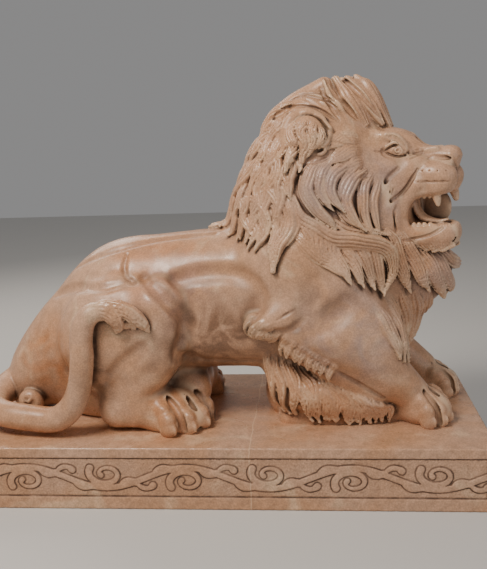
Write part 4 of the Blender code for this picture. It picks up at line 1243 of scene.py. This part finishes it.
    def snarl(self, s: int) -> None:
        """The flat leaf of skin that the snarl raises from beside the nose down the cheek."""
        self.put(Mass((64, s * 68, -46), (52, 24, 54)), 22)
        self.put(Mass((116, s * 56, -24), (34, 20, 40)), 16)
        self.put(Mass((138, s * 44, 2), (30, 17, 20)), 14)
        line = [(142, s * 55, -4), (128, s * 63, -16), (110, s * 71, -40), (90, s * 77, -66),
                (70, s * 80, -96)]
        points = self.head_place.path(line)
        normals = np.tile(self.head_place.way((0.25, s, 0.1)), (len(points), 1))
        share = np.linspace(0, 1, len(points))
        leaf = 25 * np.clip(np.sin(math.pi * (0.06 + 0.86 * share)), 0.2, 1)
        self.carving.add(Lock(points, normals, leaf, 10 * leaf / 25 + 2, Strands(1, 0.0)), 13)

    def eye(self, s: int) -> None:
        """An eye: an almond under the brow, between two thin lids, with a cut iris and pupil."""
        self.cut(Mass((90, s * 84, 35), (34, 14, 19)), 6)
        self.put(Mass((90, s * 58, 35), (32, 19, 19)), 1.5)
        upper = [(56, s * 75, 34, 3.0), (74, s * 75, 51, 4.2), (93, s * 72, 58, 4.8),
                 (111, s * 64, 46, 4.2), (121, s * 55, 22, 3.0)]
        lower = [(56, s * 75, 34, 3.0), (76, s * 73, 20, 3.6), (97, s * 68, 13, 3.6),
                 (121, s * 55, 20, 3.0)]
        self.put(Limb(upper), 2)
        self.put(Limb(lower), 2)
        self.put(Limb([(66, s * 66, 76, 11), (90, s * 60, 70, 12), (108, s * 52, 54, 10),
                       (122, s * 42, 32, 7)]), 8)

    def nostril(self, s: int) -> None:
        """A nostril: the wing, and the cut that runs back from it."""
        self.put(Mass((212, s * 30, 0), (24, 9, 9)), 8)
        self.cut(Limb([(228, s * 28, 13, 4), (213, s * 34, 15, 6), (197, s * 37, 18, 6),
                       (183, s * 38, 20, 4.5), (174, s * 39, 13, 3)]), 3)
        self.cut(Mass((260, 0, 0), (14, 38, 18)), 6)

    def whisker_dots(self, s: int) -> None:
        """Rows of small drilled dots on a whisker pad."""
        for row, height in enumerate((-18, -46)):
            for place in range(4):
                f = 164 + 21 * place - 6 * row
                at = self.on_face([(f, height), (f + 1, height)], s)[0]
                self.carving.carve(Mass(at, (2.3, 4, 2.3)), 1)

    def chin_tuft(self) -> None:
        """The short tuft of hair under the chin."""
        self.put(Mass((178, 0, -214), (58, 34, 18), pitch=-8), 10)
        roots = ((126, -206), (144, -205), (163, -202), (182, -196), (200, -186), (217, -172))
        tips = ((130, -221), (152, -229), (173, -235), (195, -238), (217, -236), (236, -226))
        for s in (-1, 1):
            for number, (root, tip) in enumerate(zip(roots, tips)):
                out = 50 - number * 4.6
                line = [(root[0], s * out, root[1]),
                        ((root[0] + tip[0]) / 2 - 1, s * (out + 2), (root[1] + tip[1]) / 2),
                        (tip[0], s * (out - 4), tip[1])]
                points = self.head_place.path(line, 4)
                normals = np.tile(self.head_place.way((0.15, s, 0)), (len(points), 1))
                taper = np.clip(1.1 - np.linspace(0, 1, len(points)) ** 4, 0.62, 1)
                self.carving.add(Lock(points, normals, 20 * taper, 9 * taper, Strands(5, 3.6, 0.1, 0.32),
                                      4 * s, number), 5)
            self.cut(Limb([(232, s * 24, -168, 2), (244, s * 20, -190, 3.0), (240, s * 26, -210, 2.5)]), 4)

    def build(self, marble: "Marble") -> list[bpy.types.Object]:
        """Carves the lion and skins each of its regions.

        Args:
            marble: the finish of all of them.

        Returns:
            The pieces.
        """
        self.carve()
        log.info("carving of %d forms", len(self.carving.steps))
        return [self.skinned(region, marble) for region in REGIONS]

    def skinned(self, region: Region, marble: "Marble") -> bpy.types.Object:
        """One region of the lion as a piece, with its hollows and edges marked for the finish."""
        step = region.step * 1
        pad = SEAM_RUN + 2 * step
        low = np.maximum(np.array(region.low) - pad, np.array(WHOLE_LOW) - 2 * step)
        high = np.minimum(np.array(region.high) + pad, np.array(WHOLE_HIGH) + 2 * step)
        clay = self.carving.shaped(low, high, step)
        full = clay.copied()
        clay.keep_within(region.low, region.high, SEAM_DIVE, SEAM_RUN)
        points, faces = clay.skin()
        piece = mesh_object(region.name, points * MILLIMETRE + (0, 0, PLINTH_HEIGHT), faces)
        drop_crumbs(piece)
        share = region.triangles / (2 * len(faces))
        if share < 1:
            thinned = piece.modifiers.new("thinned", "DECIMATE")
            thinned.ratio = share
            apply_modifiers(piece)
        piece.data.shade_smooth()
        mark_relief(piece, full)
        marble.dress(piece)
        log.info("%s: %d faces", region.name, len(piece.data.polygons))
        return piece


# Meshes


def mesh_object(name: str, points: np.ndarray, faces: np.ndarray) -> bpy.types.Object:
    """An object with a mesh of its own.

    Args:
        name: the piece's name.
        points: places in metres.
        faces: rows of point numbers, all of one length.

    Returns:
        The object, in the scene.
    """
    mesh = bpy.data.meshes.new(name)
    sides = faces.shape[1]
    mesh.vertices.add(len(points))
    mesh.vertices.foreach_set("co", points.astype(np.float32).ravel())
    mesh.loops.add(faces.size)
    mesh.loops.foreach_set("vertex_index", faces.astype(np.int32).ravel())
    mesh.polygons.add(len(faces))
    mesh.polygons.foreach_set("loop_start", np.arange(0, faces.size, sides, dtype=np.int32))
    mesh.update(calc_edges=True)
    made = bpy.data.objects.new(name, mesh)
    bpy.context.scene.collection.objects.link(made)
    return made


def select_only(*pieces: bpy.types.Object) -> None:
    """Selects some objects and nothing else, with the first of them active."""
    bpy.ops.object.select_all(action="DESELECT")
    for piece in pieces:
        piece.select_set(True)
    bpy.context.view_layer.objects.active = pieces[0]


def apply_modifiers(piece: bpy.types.Object) -> None:
    """Applies all of a piece's modifiers in order."""
    select_only(piece)
    for modifier in list(piece.modifiers):
        bpy.ops.object.modifier_apply(modifier=modifier.name)


def drop_crumbs(piece: bpy.types.Object) -> None:
    """Deletes the closed pockets between locks and any crumb that floats free."""
    work = bmesh.new()
    work.from_mesh(piece.data)
    waiting, shells = set(work.verts), []
    while waiting:
        edge = [waiting.pop()]
        shell = list(edge)
        while edge:
            beside = {e.other_vert(v) for v in edge for e in v.link_edges} & waiting
            waiting -= beside
            edge = list(beside)
            shell += edge
        shells.append(shell)
    shells.sort(key=len)
    for crumb in shells[:-1]:
        bmesh.ops.delete(work, geom=crumb, context="VERTS")
    work.to_mesh(piece.data)
    work.free()


# How far out and in from the skin the clay is read, to tell hollows from edges.
PROBES = (2.5, 6.0, 14.0, 30.0)
HOLLOW = "hollow"
PROUD = "proud"


def mark_vertices(piece: bpy.types.Object, hollow: np.ndarray, proud: np.ndarray) -> None:
    """Writes down for the finish how deep each vertex lies and how proud it stands."""
    for name, values in ((HOLLOW, hollow), (PROUD, proud)):
        mark = piece.data.attributes.new(name, "FLOAT", "POINT")
        mark.data.foreach_set("value", values.ravel().astype(np.float32))


def mark_relief(piece: bpy.types.Object, clay: Clay) -> None:
    """Marks each vertex with how deep in a hollow it lies and how sharply the stone stands proud there."""
    count = len(piece.data.vertices)
    flat = np.empty(count * 3, np.float32)
    piece.data.vertices.foreach_get("co", flat)
    at = (flat.reshape(-1, 3) - (0, 0, PLINTH_HEIGHT)) / MILLIMETRE
    out = clay.slope(at)
    hollow, proud = np.zeros(count), np.zeros(count)
    # The finish darkens the hollow places as painted shade, partly grime, and lightens the proud ones, partly
    # as painted highlight.
    for reach in PROBES:
        hollow += np.clip(1 - clay.read(at + out * reach) / reach, 0, 2) / len(PROBES)
        proud += np.clip(1 + clay.read(at - out * reach) / reach, 0, 2) / len(PROBES)
    mark_vertices(piece, hollow, proud)


# The plinth

# Each leaf grows from the stem at a share of the pitch, one way or the other, and turns by degrees.
LEAVES = ((-0.21, 1, -95.0, 0.060), (0.08, -1, 100.0, 0.052), (0.185, 1, -105.0, 0.054))
CURL_POINTS = 30
LEAF_POINTS = 14
PECK_SEED = 11
PLAIN_GRID = 3
MERGE = 0.0004


@dataclass
class Frieze:
    """The scroll in low flat relief: a wavy stem, and in each of its hollows a volute and hooked leaves."""

    pitch: float = 0.450
    start: float = -0.082
    swing: float = 0.030
    middle: float = 0.094
    stem: float = 0.0100
    sink: float = 0.0030
    groove: float = 0.0026
    groove_width: float = 0.0019
    bank: float = 0.003
    reach: float = 0.02
    volute: float = 0.031
    stretch: float = 1.42
    drop: float = 0.011
    leaf_lean: float = 58.0

    def stem_height(self, u: np.ndarray) -> np.ndarray:
        """The height of the stem at places along a side."""
        return self.middle + self.swing * np.cos(2 * math.pi * (u - self.start) / self.pitch)

    def bands(self, half: float) -> list[np.ndarray]:
        """The bands of the scroll as rows of u, z and half width."""
        line = np.linspace(-half - 0.05, half + 0.05, int(half * 2 / self.pitch * 36) + 8)
        out = [np.stack([line, self.stem_height(line), np.full(len(line), self.stem)], -1)]
        step = self.pitch / 2
        first, last = math.floor((-half - self.start) / step), math.ceil((half - self.start) / step)
        for bend in range(first, last + 1):
            up = 1 if bend % 2 == 0 else -1
            middle = self.start + bend * step
            out.append(self.curl(middle, up))
            out += [self.leaf(middle, up, *entry) for entry in LEAVES]
        return out

    def curl(self, middle: float, up: int) -> np.ndarray:
        """A spiral that leaves the stem and curls up in the hollow under its bend."""
        turns = np.linspace(0, 1, CURL_POINTS)
        angle = math.pi * (1.16 - 2.3 * turns)
        radius = self.volute * (1.14 - 0.80 * turns)
        u = middle + self.stretch * radius * np.cos(angle)
        z = self.middle - up * self.drop + up * radius * np.sin(angle)
        bulb = 0.45 * np.exp(-((turns - 1) / 0.12) ** 2)
        return np.stack([u, z, self.stem * (1.15 - 0.7 * turns + bulb)], -1)

    def leaf(self, middle: float, up: int, at: float, way: int, turn: float, length: float) -> np.ndarray:
        """A hooked leaf that grows from the stem at a place along the side."""
        root = middle + at * self.pitch
        share = np.linspace(0, 1, LEAF_POINTS)
        angle = math.radians(self.leaf_lean) * up * way + up * math.radians(turn) * share ** 1.3
        stride = length / (LEAF_POINTS - 1)
        u = root + np.cumsum(np.cos(angle)) * stride
        z = self.stem_height(np.array(root)) + np.cumsum(np.sin(angle)) * stride
        bulb = 0.55 * np.exp(-((share - 1) / 0.16) ** 2)
        width = self.stem * (0.30 + 0.55 * np.sin(math.pi * (0.15 + 0.7 * share)) + bulb)
        return np.stack([u, z, width], -1)

    def relief(self, u: np.ndarray, z: np.ndarray, half: float, low: float, high: float) -> tuple:
        """The height of the carving at places on a side.

        Args:
            u: places along the side.
            z: their heights.
            half: half the panel's length.
            low: the panel's lower edge.
            high: its upper edge.

        Returns:
            The heights, and how deep in a cut or in the pecked ground each place is.
        """
        gap = np.full(u.shape, 1.0)
        for band in self.bands(half):
            near = (u > band[:, 0].min() - self.reach) & (u < band[:, 0].max() + self.reach)
            at_u, at_z, best = u[near], z[near], gap[near]
            for a, b in zip(band[:-1], band[1:]):
                run = b[:2] - a[:2]
                t = np.clip(((at_u - a[0]) * run[0] + (at_z - a[1]) * run[1]) / (run @ run + 1e-12), 0, 1)
                away = np.hypot(at_u - a[0] - t * run[0], at_z - a[1] - t * run[1])
                best = np.minimum(best, away - (a[2] + t * (b[2] - a[2])))
            gap[near] = best
        edge = np.minimum(np.minimum(z - low, high - z), half - np.abs(u))
        inside = edge > 0
        ground = np.clip(gap / self.bank, 0, 1) * inside
        chance = np.random.default_rng(PECK_SEED)
        pecks = chance.uniform(0, 1, u.shape)
        for axis in (0, 1):
            pecks = (pecks + 0.5 * np.roll(pecks, 1, axis)) / 1.5
        height = -self.sink * ground * (0.55 + 0.75 * pecks)
        line = np.exp(-(np.abs(gap) / self.groove_width) ** 2) * inside
        border = np.exp(-(np.abs(edge) / self.groove_width) ** 2)
        height = height - self.groove * np.maximum(line, border)
        # The finish darkens the cut lines and the border as painted shade, and the pecked ground a little, at
        # random.
        hollow = np.clip(0.85 * line + 0.8 * border + ground * (0.16 + 0.4 * (0.5 - pecks)), 0, 1.3)
        return height, hollow


@dataclass
class PlinthSide:
    """A side of the plinth: the way it faces, its length and how far out it stands."""

    angle: float
    length: float
    reach: float
    carved: bool = True


@dataclass
class Plinth:
    """The plinth: a block with worn edges, a running scroll on three sides and a plain panel behind."""

    length: float = 1.500
    depth: float = 0.640
    height: float = PLINTH_HEIGHT
    border_top: float = 0.030
    border_bottom: float = 0.038
    border_end: float = 0.026
    grid: float = 0.00235
    wear: float = 0.0035
    worn_band: float = 0.006
    plain_sink: float = 0.004
    frieze: Frieze = field(default_factory=Frieze)

    def sides(self) -> list[PlinthSide]:
        """The four sides, from the front round by the lion's head."""
        return [PlinthSide(0.0, self.length, self.depth / 2),
                PlinthSide(math.pi / 2, self.depth, self.length / 2),
                PlinthSide(math.pi, self.length, self.depth / 2, False),
                PlinthSide(-math.pi / 2, self.depth, self.length / 2)]

    def build(self, marble: "Marble") -> bpy.types.Object:
        """Makes the plinth.

        Args:
            marble: its finish.

        Returns:
            The piece.
        """
        parts = [self.face(side) for side in self.sides()] + [self.flat(self.height), self.flat(0.0)]
        select_only(*parts)
        bpy.ops.object.join()
        piece = bpy.context.view_layer.objects.active
        piece.name = piece.data.name = "plinth"
        bpy.ops.object.mode_set(mode="EDIT")
        bpy.ops.mesh.select_all(action="SELECT")
        bpy.ops.mesh.remove_doubles(threshold=MERGE)
        bpy.ops.mesh.normals_make_consistent(inside=False)
        bpy.ops.object.mode_set(mode="OBJECT")
        piece.data.shade_smooth()
        marble.dress(piece)
        log.info("plinth: %d faces", len(piece.data.polygons))
        return piece

    def wear_and_highlight(self, along: np.ndarray, limit: float) -> np.ndarray:
        """How far the stone has worn back near an edge, as a share of its wear, which also lightens the edges
        of the ends, partly as painted highlight.
        """
        near = np.clip(1 - (limit - np.abs(along)) / self.worn_band, 0, 1)
        return near ** 2

    def face(self, side: PlinthSide) -> bpy.types.Object:
        """One side as a fine sheet with the frieze cut into it."""
        grid = self.grid * 1 * (1 if side.carved else PLAIN_GRID)
        across, up = max(8, round(side.length / grid)), max(8, round(self.height / grid))
        u, z = np.meshgrid(np.linspace(-side.length / 2, side.length / 2, across + 1),
                           np.linspace(0, self.height, up + 1), indexing="ij")
        low, high = self.border_bottom, self.height - self.border_top
        half = side.length / 2 - self.border_end
        if side.carved:
            height, hollow = self.frieze.relief(u, z, half, low, high)
        else:
            edge = np.minimum(np.minimum(z - low, high - z), half - np.abs(u))
            height = -self.plain_sink * np.clip(edge / self.plain_sink, 0, 1)
            # The sunk plain panel is made darker all over by the finish.
            hollow = 0.3 * (edge > 0)
        worn_ends = self.wear_and_highlight(u, side.length / 2)
        worn_rims = self.wear_and_highlight(2 * (z - self.height / 2), self.height)
        set_back = np.where((z <= 0) | (z >= self.height), self.wear, self.wear * (worn_ends + worn_rims))
        rough = 0.0006 * np.sin(u * 211) * np.sin(z * 173 + u * 61)
        out = side.reach + height - set_back + rough * (height > -1e-3)
        normal = np.array([math.sin(side.angle), -math.cos(side.angle), 0])
        along = np.array([math.cos(side.angle), math.sin(side.angle), 0])
        upright = np.array([0, 0, 1.0])
        corner = np.abs(u) > side.length / 2 - 1e-6
        out = np.where(corner, side.reach - self.wear, out)
        u = np.where(corner, np.sign(u) * (side.length / 2 - self.wear), u)
        points = (u[..., None] * along + out[..., None] * normal + z[..., None] * upright).reshape(-1, 3)
        rows = np.arange((across + 1) * (up + 1)).reshape(across + 1, up + 1)
        faces = np.stack([rows[:-1, :-1], rows[1:, :-1], rows[1:, 1:], rows[:-1, 1:]], -1).reshape(-1, 4)
        made = mesh_object("side", points, faces)
        # The worn ends are marked proud, and the finish lightens them, partly as painted highlight.
        mark_vertices(made, hollow, 0.8 * self.wear_and_highlight(u, side.length / 2))
        return made

    def flat(self, height: float) -> bpy.types.Object:
        """The top or the underside, out to the worn edges."""
        bpy.ops.mesh.primitive_grid_add(x_subdivisions=60, y_subdivisions=26, size=1, location=(0, 0, 0))
        made = bpy.context.active_object
        wide = (self.length - 2 * self.wear, self.depth - 2 * self.wear)
        for vertex in made.data.vertices:
            vertex.co = (vertex.co.x * wide[0], vertex.co.y * wide[1], height)
        if not height:
            made.data.flip_normals()
        for name in (HOLLOW, PROUD):
            made.data.attributes.new(name, "FLOAT", "POINT")
        return made


# The finish


@dataclass(frozen=True)
class StainAndShade:
    """A soft patch of colour, used for stains in the stone and for patches of painted shade: its middle and
    reach in metres, and how strong it is.
    """

    centre: tuple[float, float, float]
    reach: float
    strength: float


RUST_STAINS = (
    StainAndShade((-0.18, -0.14, 0.64), 0.16, 0.75),
    StainAndShade((-0.50, -0.16, 0.37), 0.14, 0.80),
    StainAndShade((0.26, -0.14, 0.27), 0.16, 0.40),
    StainAndShade((-0.13, -0.22, 0.25), 0.10, 0.6),
    StainAndShade((0.66, -0.20, 0.27), 0.08, 0.6),
    StainAndShade((0.56, -0.13, 0.70), 0.09, 0.5),
    StainAndShade((0.08, 0.15, 0.55), 0.20, 0.6),
)

# Umber patches of painted shade: they darken the belly, the folds by the thigh and elbow and the mouth, where
# shade falls.
UMBER_SHADE_PATCHES = (
    StainAndShade((-0.02, -0.17, 0.41), 0.15, 1.3),
    StainAndShade((0.08, -0.17, 0.43), 0.11, 1.1),
    StainAndShade((-0.09, -0.18, 0.42), 0.09, 1.1),
    StainAndShade((-0.37, -0.19, 0.34), 0.10, 0.9),
    StainAndShade((-0.16, -0.24, 0.36), 0.06, 0.6),
    StainAndShade((0.29, -0.20, 0.53), 0.06, 0.5),
    StainAndShade((0.24, -0.21, 0.50), 0.05, 0.5),
    StainAndShade((0.60, -0.06, 0.79), 0.06, 0.9),
    StainAndShade((0.00, 0.18, 0.42), 0.14, 0.8),
    StainAndShade((0.30, -0.06, 1.09), 0.05, 0.5),
)

LILAC_STAINS = (
    StainAndShade((0.33, -0.19, 0.85), 0.11, 0.7),
    StainAndShade((0.36, -0.22, 0.46), 0.16, 0.6),
    StainAndShade((0.44, -0.15, 0.86), 0.10, 0.6),
    StainAndShade((-0.10, -0.18, 0.58), 0.12, 0.45),
    StainAndShade((0.62, -0.05, 0.60), 0.14, 0.5),
    StainAndShade((0.30, 0.18, 0.80), 0.20, 0.6),
)


VEIN_X = 0.092


class Nodes:
    """Adds nodes to a tree and joins them, in a maker's short words."""

    def __init__(self, tree: bpy.types.NodeTree) -> None:
        """Works on one tree."""
        self.tree = tree

    def add(self, kind: str, **values: object) -> bpy.types.Node:
        """A new node, with its plain properties set."""
        node = self.tree.nodes.new(kind)
        for name, value in values.items():
            setattr(node, name, value)
        return node

    def join(self, out: object, into: object) -> None:
        """Joins an output to an input, or sets the input where the other is a plain value."""
        if isinstance(out, bpy.types.NodeSocket):
            self.tree.links.new(out, into)
        else:
            into.default_value = out

    def mix(self, share: object, first: object, second: object, blend: str = "MIX") -> bpy.types.NodeSocket:
        """A mix of two colours."""
        node = self.add("ShaderNodeMix", data_type="RGBA", blend_type=blend)
        self.join(share, node.inputs["Factor"])
        self.join(first, node.inputs["A"])
        self.join(second, node.inputs["B"])
        return node.outputs["Result"]

    def sum(self, operation: str, first: object, second: object = 0.0,
            clamp: bool = False) -> bpy.types.NodeSocket:
        """A piece of arithmetic on two values."""
        node = self.add("ShaderNodeMath", operation=operation, use_clamp=clamp)
        self.join(first, node.inputs[0])
        self.join(second, node.inputs[1])
        return node.outputs[0]

    def ranged(self, value: object, low: float, high: float, to_low: float = 0.0,
               to_high: float = 1.0) -> object:
        """A value brought smoothly from one range into another."""
        node = self.add("ShaderNodeMapRange", interpolation_type="SMOOTHSTEP")
        self.join(value, node.inputs["Value"])
        for name, number in (("From Min", low), ("From Max", high), ("To Min", to_low),
                             ("To Max", to_high)):
            node.inputs[name].default_value = number
        return node.outputs["Result"]

    def noise(self, place: object, scale: float, detail: float = 4.0, distortion: float = 0.0) -> object:
        """Cloudy noise."""
        node = self.add("ShaderNodeTexNoise")
        self.join(place, node.inputs["Vector"])
        node.inputs["Scale"].default_value = scale
        node.inputs["Detail"].default_value = detail
        node.inputs["Distortion"].default_value = distortion
        return node.outputs["Fac"]


def group_with(name: str, inputs: dict[str, str], outputs: dict[str, str]) -> tuple:
    """A new shader group with named sockets.

    Args:
        name: the group's name.
        inputs: the kind of socket for each input.
        outputs: the same for the outputs.

    Returns:
        The group, its nodes, and its input and output nodes.
    """
    group = bpy.data.node_groups.new(name, "ShaderNodeTree")
    for label, kind in inputs.items():
        group.interface.new_socket(name=label, in_out="INPUT", socket_type=kind)
    for label, kind in outputs.items():
        group.interface.new_socket(name=label, in_out="OUTPUT", socket_type=kind)
    nodes = Nodes(group)
    return group, nodes, nodes.add("NodeGroupInput"), nodes.add("NodeGroupOutput")


@dataclass(frozen=True)
class Marble:
    """Warm pink-tan marble, polished by hand and weathered, with near-black brown in its cuts that is partly
    grime and partly painted shade.
    """

    tan: tuple = (0.54, 0.295, 0.165, 1)
    pink: tuple = (0.58, 0.35, 0.225, 1)
    cream: tuple = (0.80, 0.57, 0.37, 1)
    rust: tuple = (0.50, 0.20, 0.075, 1)
    lilac: tuple = (0.36, 0.26, 0.24, 1)
    # The umber of the patches of painted shade.
    shade_umber: tuple = (0.24, 0.125, 0.070, 1)
    # Near-black brown for the hollows: partly grime, partly painted shade.
    grime_and_shade: tuple = (0.050, 0.022, 0.012, 1)
    roughness: float = 0.33
    vein_at: float | None = None

    def stone_and_shade_group(self) -> bpy.types.NodeTree:
        """The stone's colour: clouds of pink and cream in tan, rust and lilac patches, umber patches of
        painted shade on the folds and low on the body, and fine speckle.
        """
        found = bpy.data.node_groups.get("stone")
        if found:
            return found
        group, n, given, made = group_with("stone", {"Place": "NodeSocketVector"},
                                           {"Color": "NodeSocketColor"})
        place = given.outputs["Place"]
        color = n.mix(n.ranged(n.noise(place, 4.2, 5, 0.8), 0.38, 0.66), self.tan, self.pink)
        pale = n.sum("MULTIPLY", n.ranged(n.noise(place, 7.5, 6, 1.2), 0.54, 0.74), 0.55)
        color = n.mix(pale, color, self.cream)
        cloud = n.ranged(n.noise(place, 9.0, 6, 1.5), 0.30, 0.66)
        # Rust and lilac are stains in the stone; the umber patches are painted shade.
        for stains_and_shades, tint in ((RUST_STAINS, self.rust), (LILAC_STAINS, self.lilac),
                             (UMBER_SHADE_PATCHES, self.shade_umber)):
            total = 0.0
            for stain_and_shade in stains_and_shades:
                gap = n.add("ShaderNodeVectorMath", operation="DISTANCE")
                n.join(place, gap.inputs[0])
                gap.inputs[1].default_value = stain_and_shade.centre
                mask = n.ranged(gap.outputs["Value"], stain_and_shade.reach * 0.35, stain_and_shade.reach * 1.3,
                                stain_and_shade.strength, 0.0)
                total = n.sum("MAXIMUM", mask, total)
            color = n.mix(n.sum("MULTIPLY", total, cloud), color, tint)
        speckle = n.ranged(n.noise(place, 230, 3), 0.3, 0.75, 0.80, 1.12)
        blotch = n.ranged(n.noise(place, 34, 5), 0.3, 0.7, 0.90, 1.08)
        shade = n.add("ShaderNodeCombineColor")
        for name in ("Red", "Green", "Blue"):
            n.join(n.sum("MULTIPLY", speckle, blotch), shade.inputs[name])
        n.join(n.mix(1.0, color, shade.outputs["Color"], "MULTIPLY"), made.inputs["Color"])
        return group

    def weather_group(self) -> bpy.types.NodeTree:
        """Dark brown in the hollows, partly grime and partly painted shade, and pale edges, partly rubbed and
        partly painted highlight.
        """
        found = bpy.data.node_groups.get("weather")
        if found:
            return found
        group, n, given, made = group_with(
            "weather",
            {"Place": "NodeSocketVector", "Color": "NodeSocketColor", "Hollow": "NodeSocketFloat",
             "Proud": "NodeSocketFloat"},
            {"Color": "NodeSocketColor", "Roughness": "NodeSocketFloat"})
        place = given.outputs["Place"]
        patchy = n.ranged(n.noise(place, 26, 5), 0.25, 0.75, 0.65, 1.15)
        # Painted shade, partly grime: the deeper a place lies in a hollow, the darker it is made.
        dirt_and_shade = n.sum("MULTIPLY", n.ranged(given.outputs["Hollow"], 0.08, 0.64), patchy, True)
        # Painted highlight, partly rubbed wear: proud edges are lightened towards cream.
        wear_and_highlight = n.sum("MULTIPLY", n.ranged(given.outputs["Proud"], 0.14, 0.65), 0.6)
        color = n.mix(wear_and_highlight, given.outputs["Color"], self.cream)
        color = n.mix(n.sum("MULTIPLY", dirt_and_shade, 0.90), color, self.grime_and_shade)
        n.join(color, made.inputs["Color"])
        sheen = n.ranged(n.noise(place, 18, 4), 0.3, 0.7, self.roughness - 0.08, self.roughness + 0.1)
        gloss = n.sum("ADD", sheen, n.sum("MULTIPLY", dirt_and_shade, 0.35))
        n.join(gloss, made.inputs["Roughness"])
        return group

    def material(self) -> bpy.types.Material:
        """The finish as a material."""
        name = "marble" if self.vein_at is None else "marble_plinth"
        found = bpy.data.materials.get(name + "_looks")
        if found:
            return found
        finish = bpy.data.materials.new(name + "_looks")
        finish.use_nodes = True
        tree = finish.node_tree
        n, shader = Nodes(tree), tree.nodes["Principled BSDF"]
        place = n.add("ShaderNodeTexCoord").outputs["Object"]
        stone = n.add("ShaderNodeGroup")
        stone.node_tree = self.stone_and_shade_group()
        n.join(place, stone.inputs["Place"])
        color = stone.outputs["Color"]
        if self.vein_at is not None:
            color = self.veined(n, place, color)
        weather = n.add("ShaderNodeGroup")
        weather.node_tree = self.weather_group()
        n.join(place, weather.inputs["Place"])
        n.join(color, weather.inputs["Color"])
        n.join(n.add("ShaderNodeAttribute", attribute_name=HOLLOW).outputs["Fac"], weather.inputs["Hollow"])
        n.join(n.add("ShaderNodeAttribute", attribute_name=PROUD).outputs["Fac"], weather.inputs["Proud"])
        n.join(weather.outputs["Color"], shader.inputs["Base Color"])
        n.join(weather.outputs["Roughness"], shader.inputs["Roughness"])
        bump = n.add("ShaderNodeBump")
        bump.inputs["Strength"].default_value = 0.22
        bump.inputs["Distance"].default_value = 0.0012
        tooling = n.sum("ADD", n.noise(place, 120, 4), n.sum("MULTIPLY", n.noise(place, 420, 3), 0.5))
        n.join(tooling, bump.inputs["Height"])
        n.join(bump.outputs["Normal"], shader.inputs["Normal"])
        shader.inputs["Specular IOR Level"].default_value = 0.45
        shader.inputs["IOR"].default_value = 1.52
        return finish

    def veined(self, n: Nodes, place: object, color: object) -> object:
        """A thin pale vein across the plinth, through its top and front."""
        split = n.add("ShaderNodeSeparateXYZ")
        n.join(place, split.inputs[0])
        waver = n.sum("MULTIPLY", n.sum("SUBTRACT", n.noise(place, 14, 3), 0.5), 0.016)
        gap = n.sum("ABSOLUTE", n.sum("ADD", n.sum("SUBTRACT", split.outputs["X"], self.vein_at), waver))
        vein = n.ranged(gap, 0.0004, 0.0018, 0.6, 0.0)
        return n.mix(vein, color, self.cream)

    def dress(self, piece: bpy.types.Object) -> None:
        """Gives a piece the finish, hangs it on the lion's body and hides the part of the model that it
        replaces.
        """
        piece.data.materials.clear()
        piece.data.materials.append(self.material())
        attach(piece, BODY)
        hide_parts(CAD_NODE)


# Floor, light and camera


@dataclass
class Studio:
    """The plain floor, the soft light and the camera at the photograph's angle."""

    floor_size: float = 14.0
    focal: float = 57.66
    sensor: float = 36.0
    place: tuple = (0.2796, -2.2768, 1.0384)
    yaw: float = 5.413
    pitch: float = 11.681
    roll: float = -2.098
    lit: tuple = (0.1, 0, 0.5)

    def build(self) -> None:
        """Sets up the floor, the lights, the world and the camera."""
        self.floor()
        self.light("key", (-1.3, -1.7, 3.2), 1.1, 112, (1.0, 0.91, 0.81))
        self.light("fill", (2.6, -1.8, 1.6), 2.6, 20, (0.96, 0.95, 0.96))
        self.light("rim", (-1.6, 2.2, 2.4), 1.8, 34, (1.0, 0.91, 0.82))
        world = bpy.data.worlds.new("studio")
        bpy.context.scene.world = world
        world.use_nodes = True
        sky = world.node_tree.nodes["Background"]
        sky.inputs["Color"].default_value = (0.86, 0.85, 0.85, 1)
        sky.inputs["Strength"].default_value = 0.30
        self.camera()

    def floor(self) -> None:
        """A pale floor under the plinth."""
        bpy.ops.mesh.primitive_plane_add(size=self.floor_size, location=(0, 0, 0))
        floor = bpy.context.active_object
        floor.name = "floor"
        finish = bpy.data.materials.new("floor")
        finish.use_nodes = True
        shader = finish.node_tree.nodes["Principled BSDF"]
        shader.inputs["Base Color"].default_value = (0.60, 0.59, 0.57, 1)
        shader.inputs["Roughness"].default_value = 0.9
        floor.data.materials.append(finish)

    def light(self, name: str, place: tuple, size: float, power: float, tint: tuple) -> None:
        """A soft square light that looks at the lion."""
        lamp = bpy.data.lights.new(name, "AREA")
        lamp.size, lamp.energy, lamp.color = size, power, tint
        holder = bpy.data.objects.new(name, lamp)
        bpy.context.scene.collection.objects.link(holder)
        holder.location = place
        ray = Vector(self.lit) - Vector(place)
        holder.rotation_euler = ray.to_track_quat("-Z", "Y").to_euler()

    def camera(self) -> None:
        """The camera, as it was solved from the plinth's edges in the photograph."""
        lens = bpy.data.cameras.new("camera")
        lens.sensor_fit, lens.sensor_width, lens.lens = "HORIZONTAL", self.sensor, self.focal
        lens.clip_start, lens.clip_end = 0.05, 50
        holder = bpy.data.objects.new("camera", lens)
        bpy.context.scene.collection.objects.link(holder)
        bpy.context.scene.camera = holder
        yaw, pitch, roll = (math.radians(v) for v in (self.yaw, self.pitch, self.roll))
        ahead = Vector((-math.sin(yaw) * math.cos(pitch), math.cos(yaw) * math.cos(pitch),
                        -math.sin(pitch)))
        right = ahead.cross(Vector((0, 0, 1))).normalized()
        up = right.cross(ahead)
        across = right * math.cos(roll) + up * math.sin(roll)
        above = up * math.cos(roll) - right * math.sin(roll)
        turn = Matrix((across, above, -ahead)).transposed()
        holder.matrix_world = Matrix.Translation(self.place) @ turn.to_4x4()


def main() -> None:
    """Builds the looks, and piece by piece."""
    logging.basicConfig(level=logging.INFO, format="%(name)s: %(message)s")
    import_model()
    Studio().build()
    stone = Marble()
    Plinth().build(replace(stone, vein_at=VEIN_X))
    Lion().build(stone)


if __name__ == "__main__":
    main()
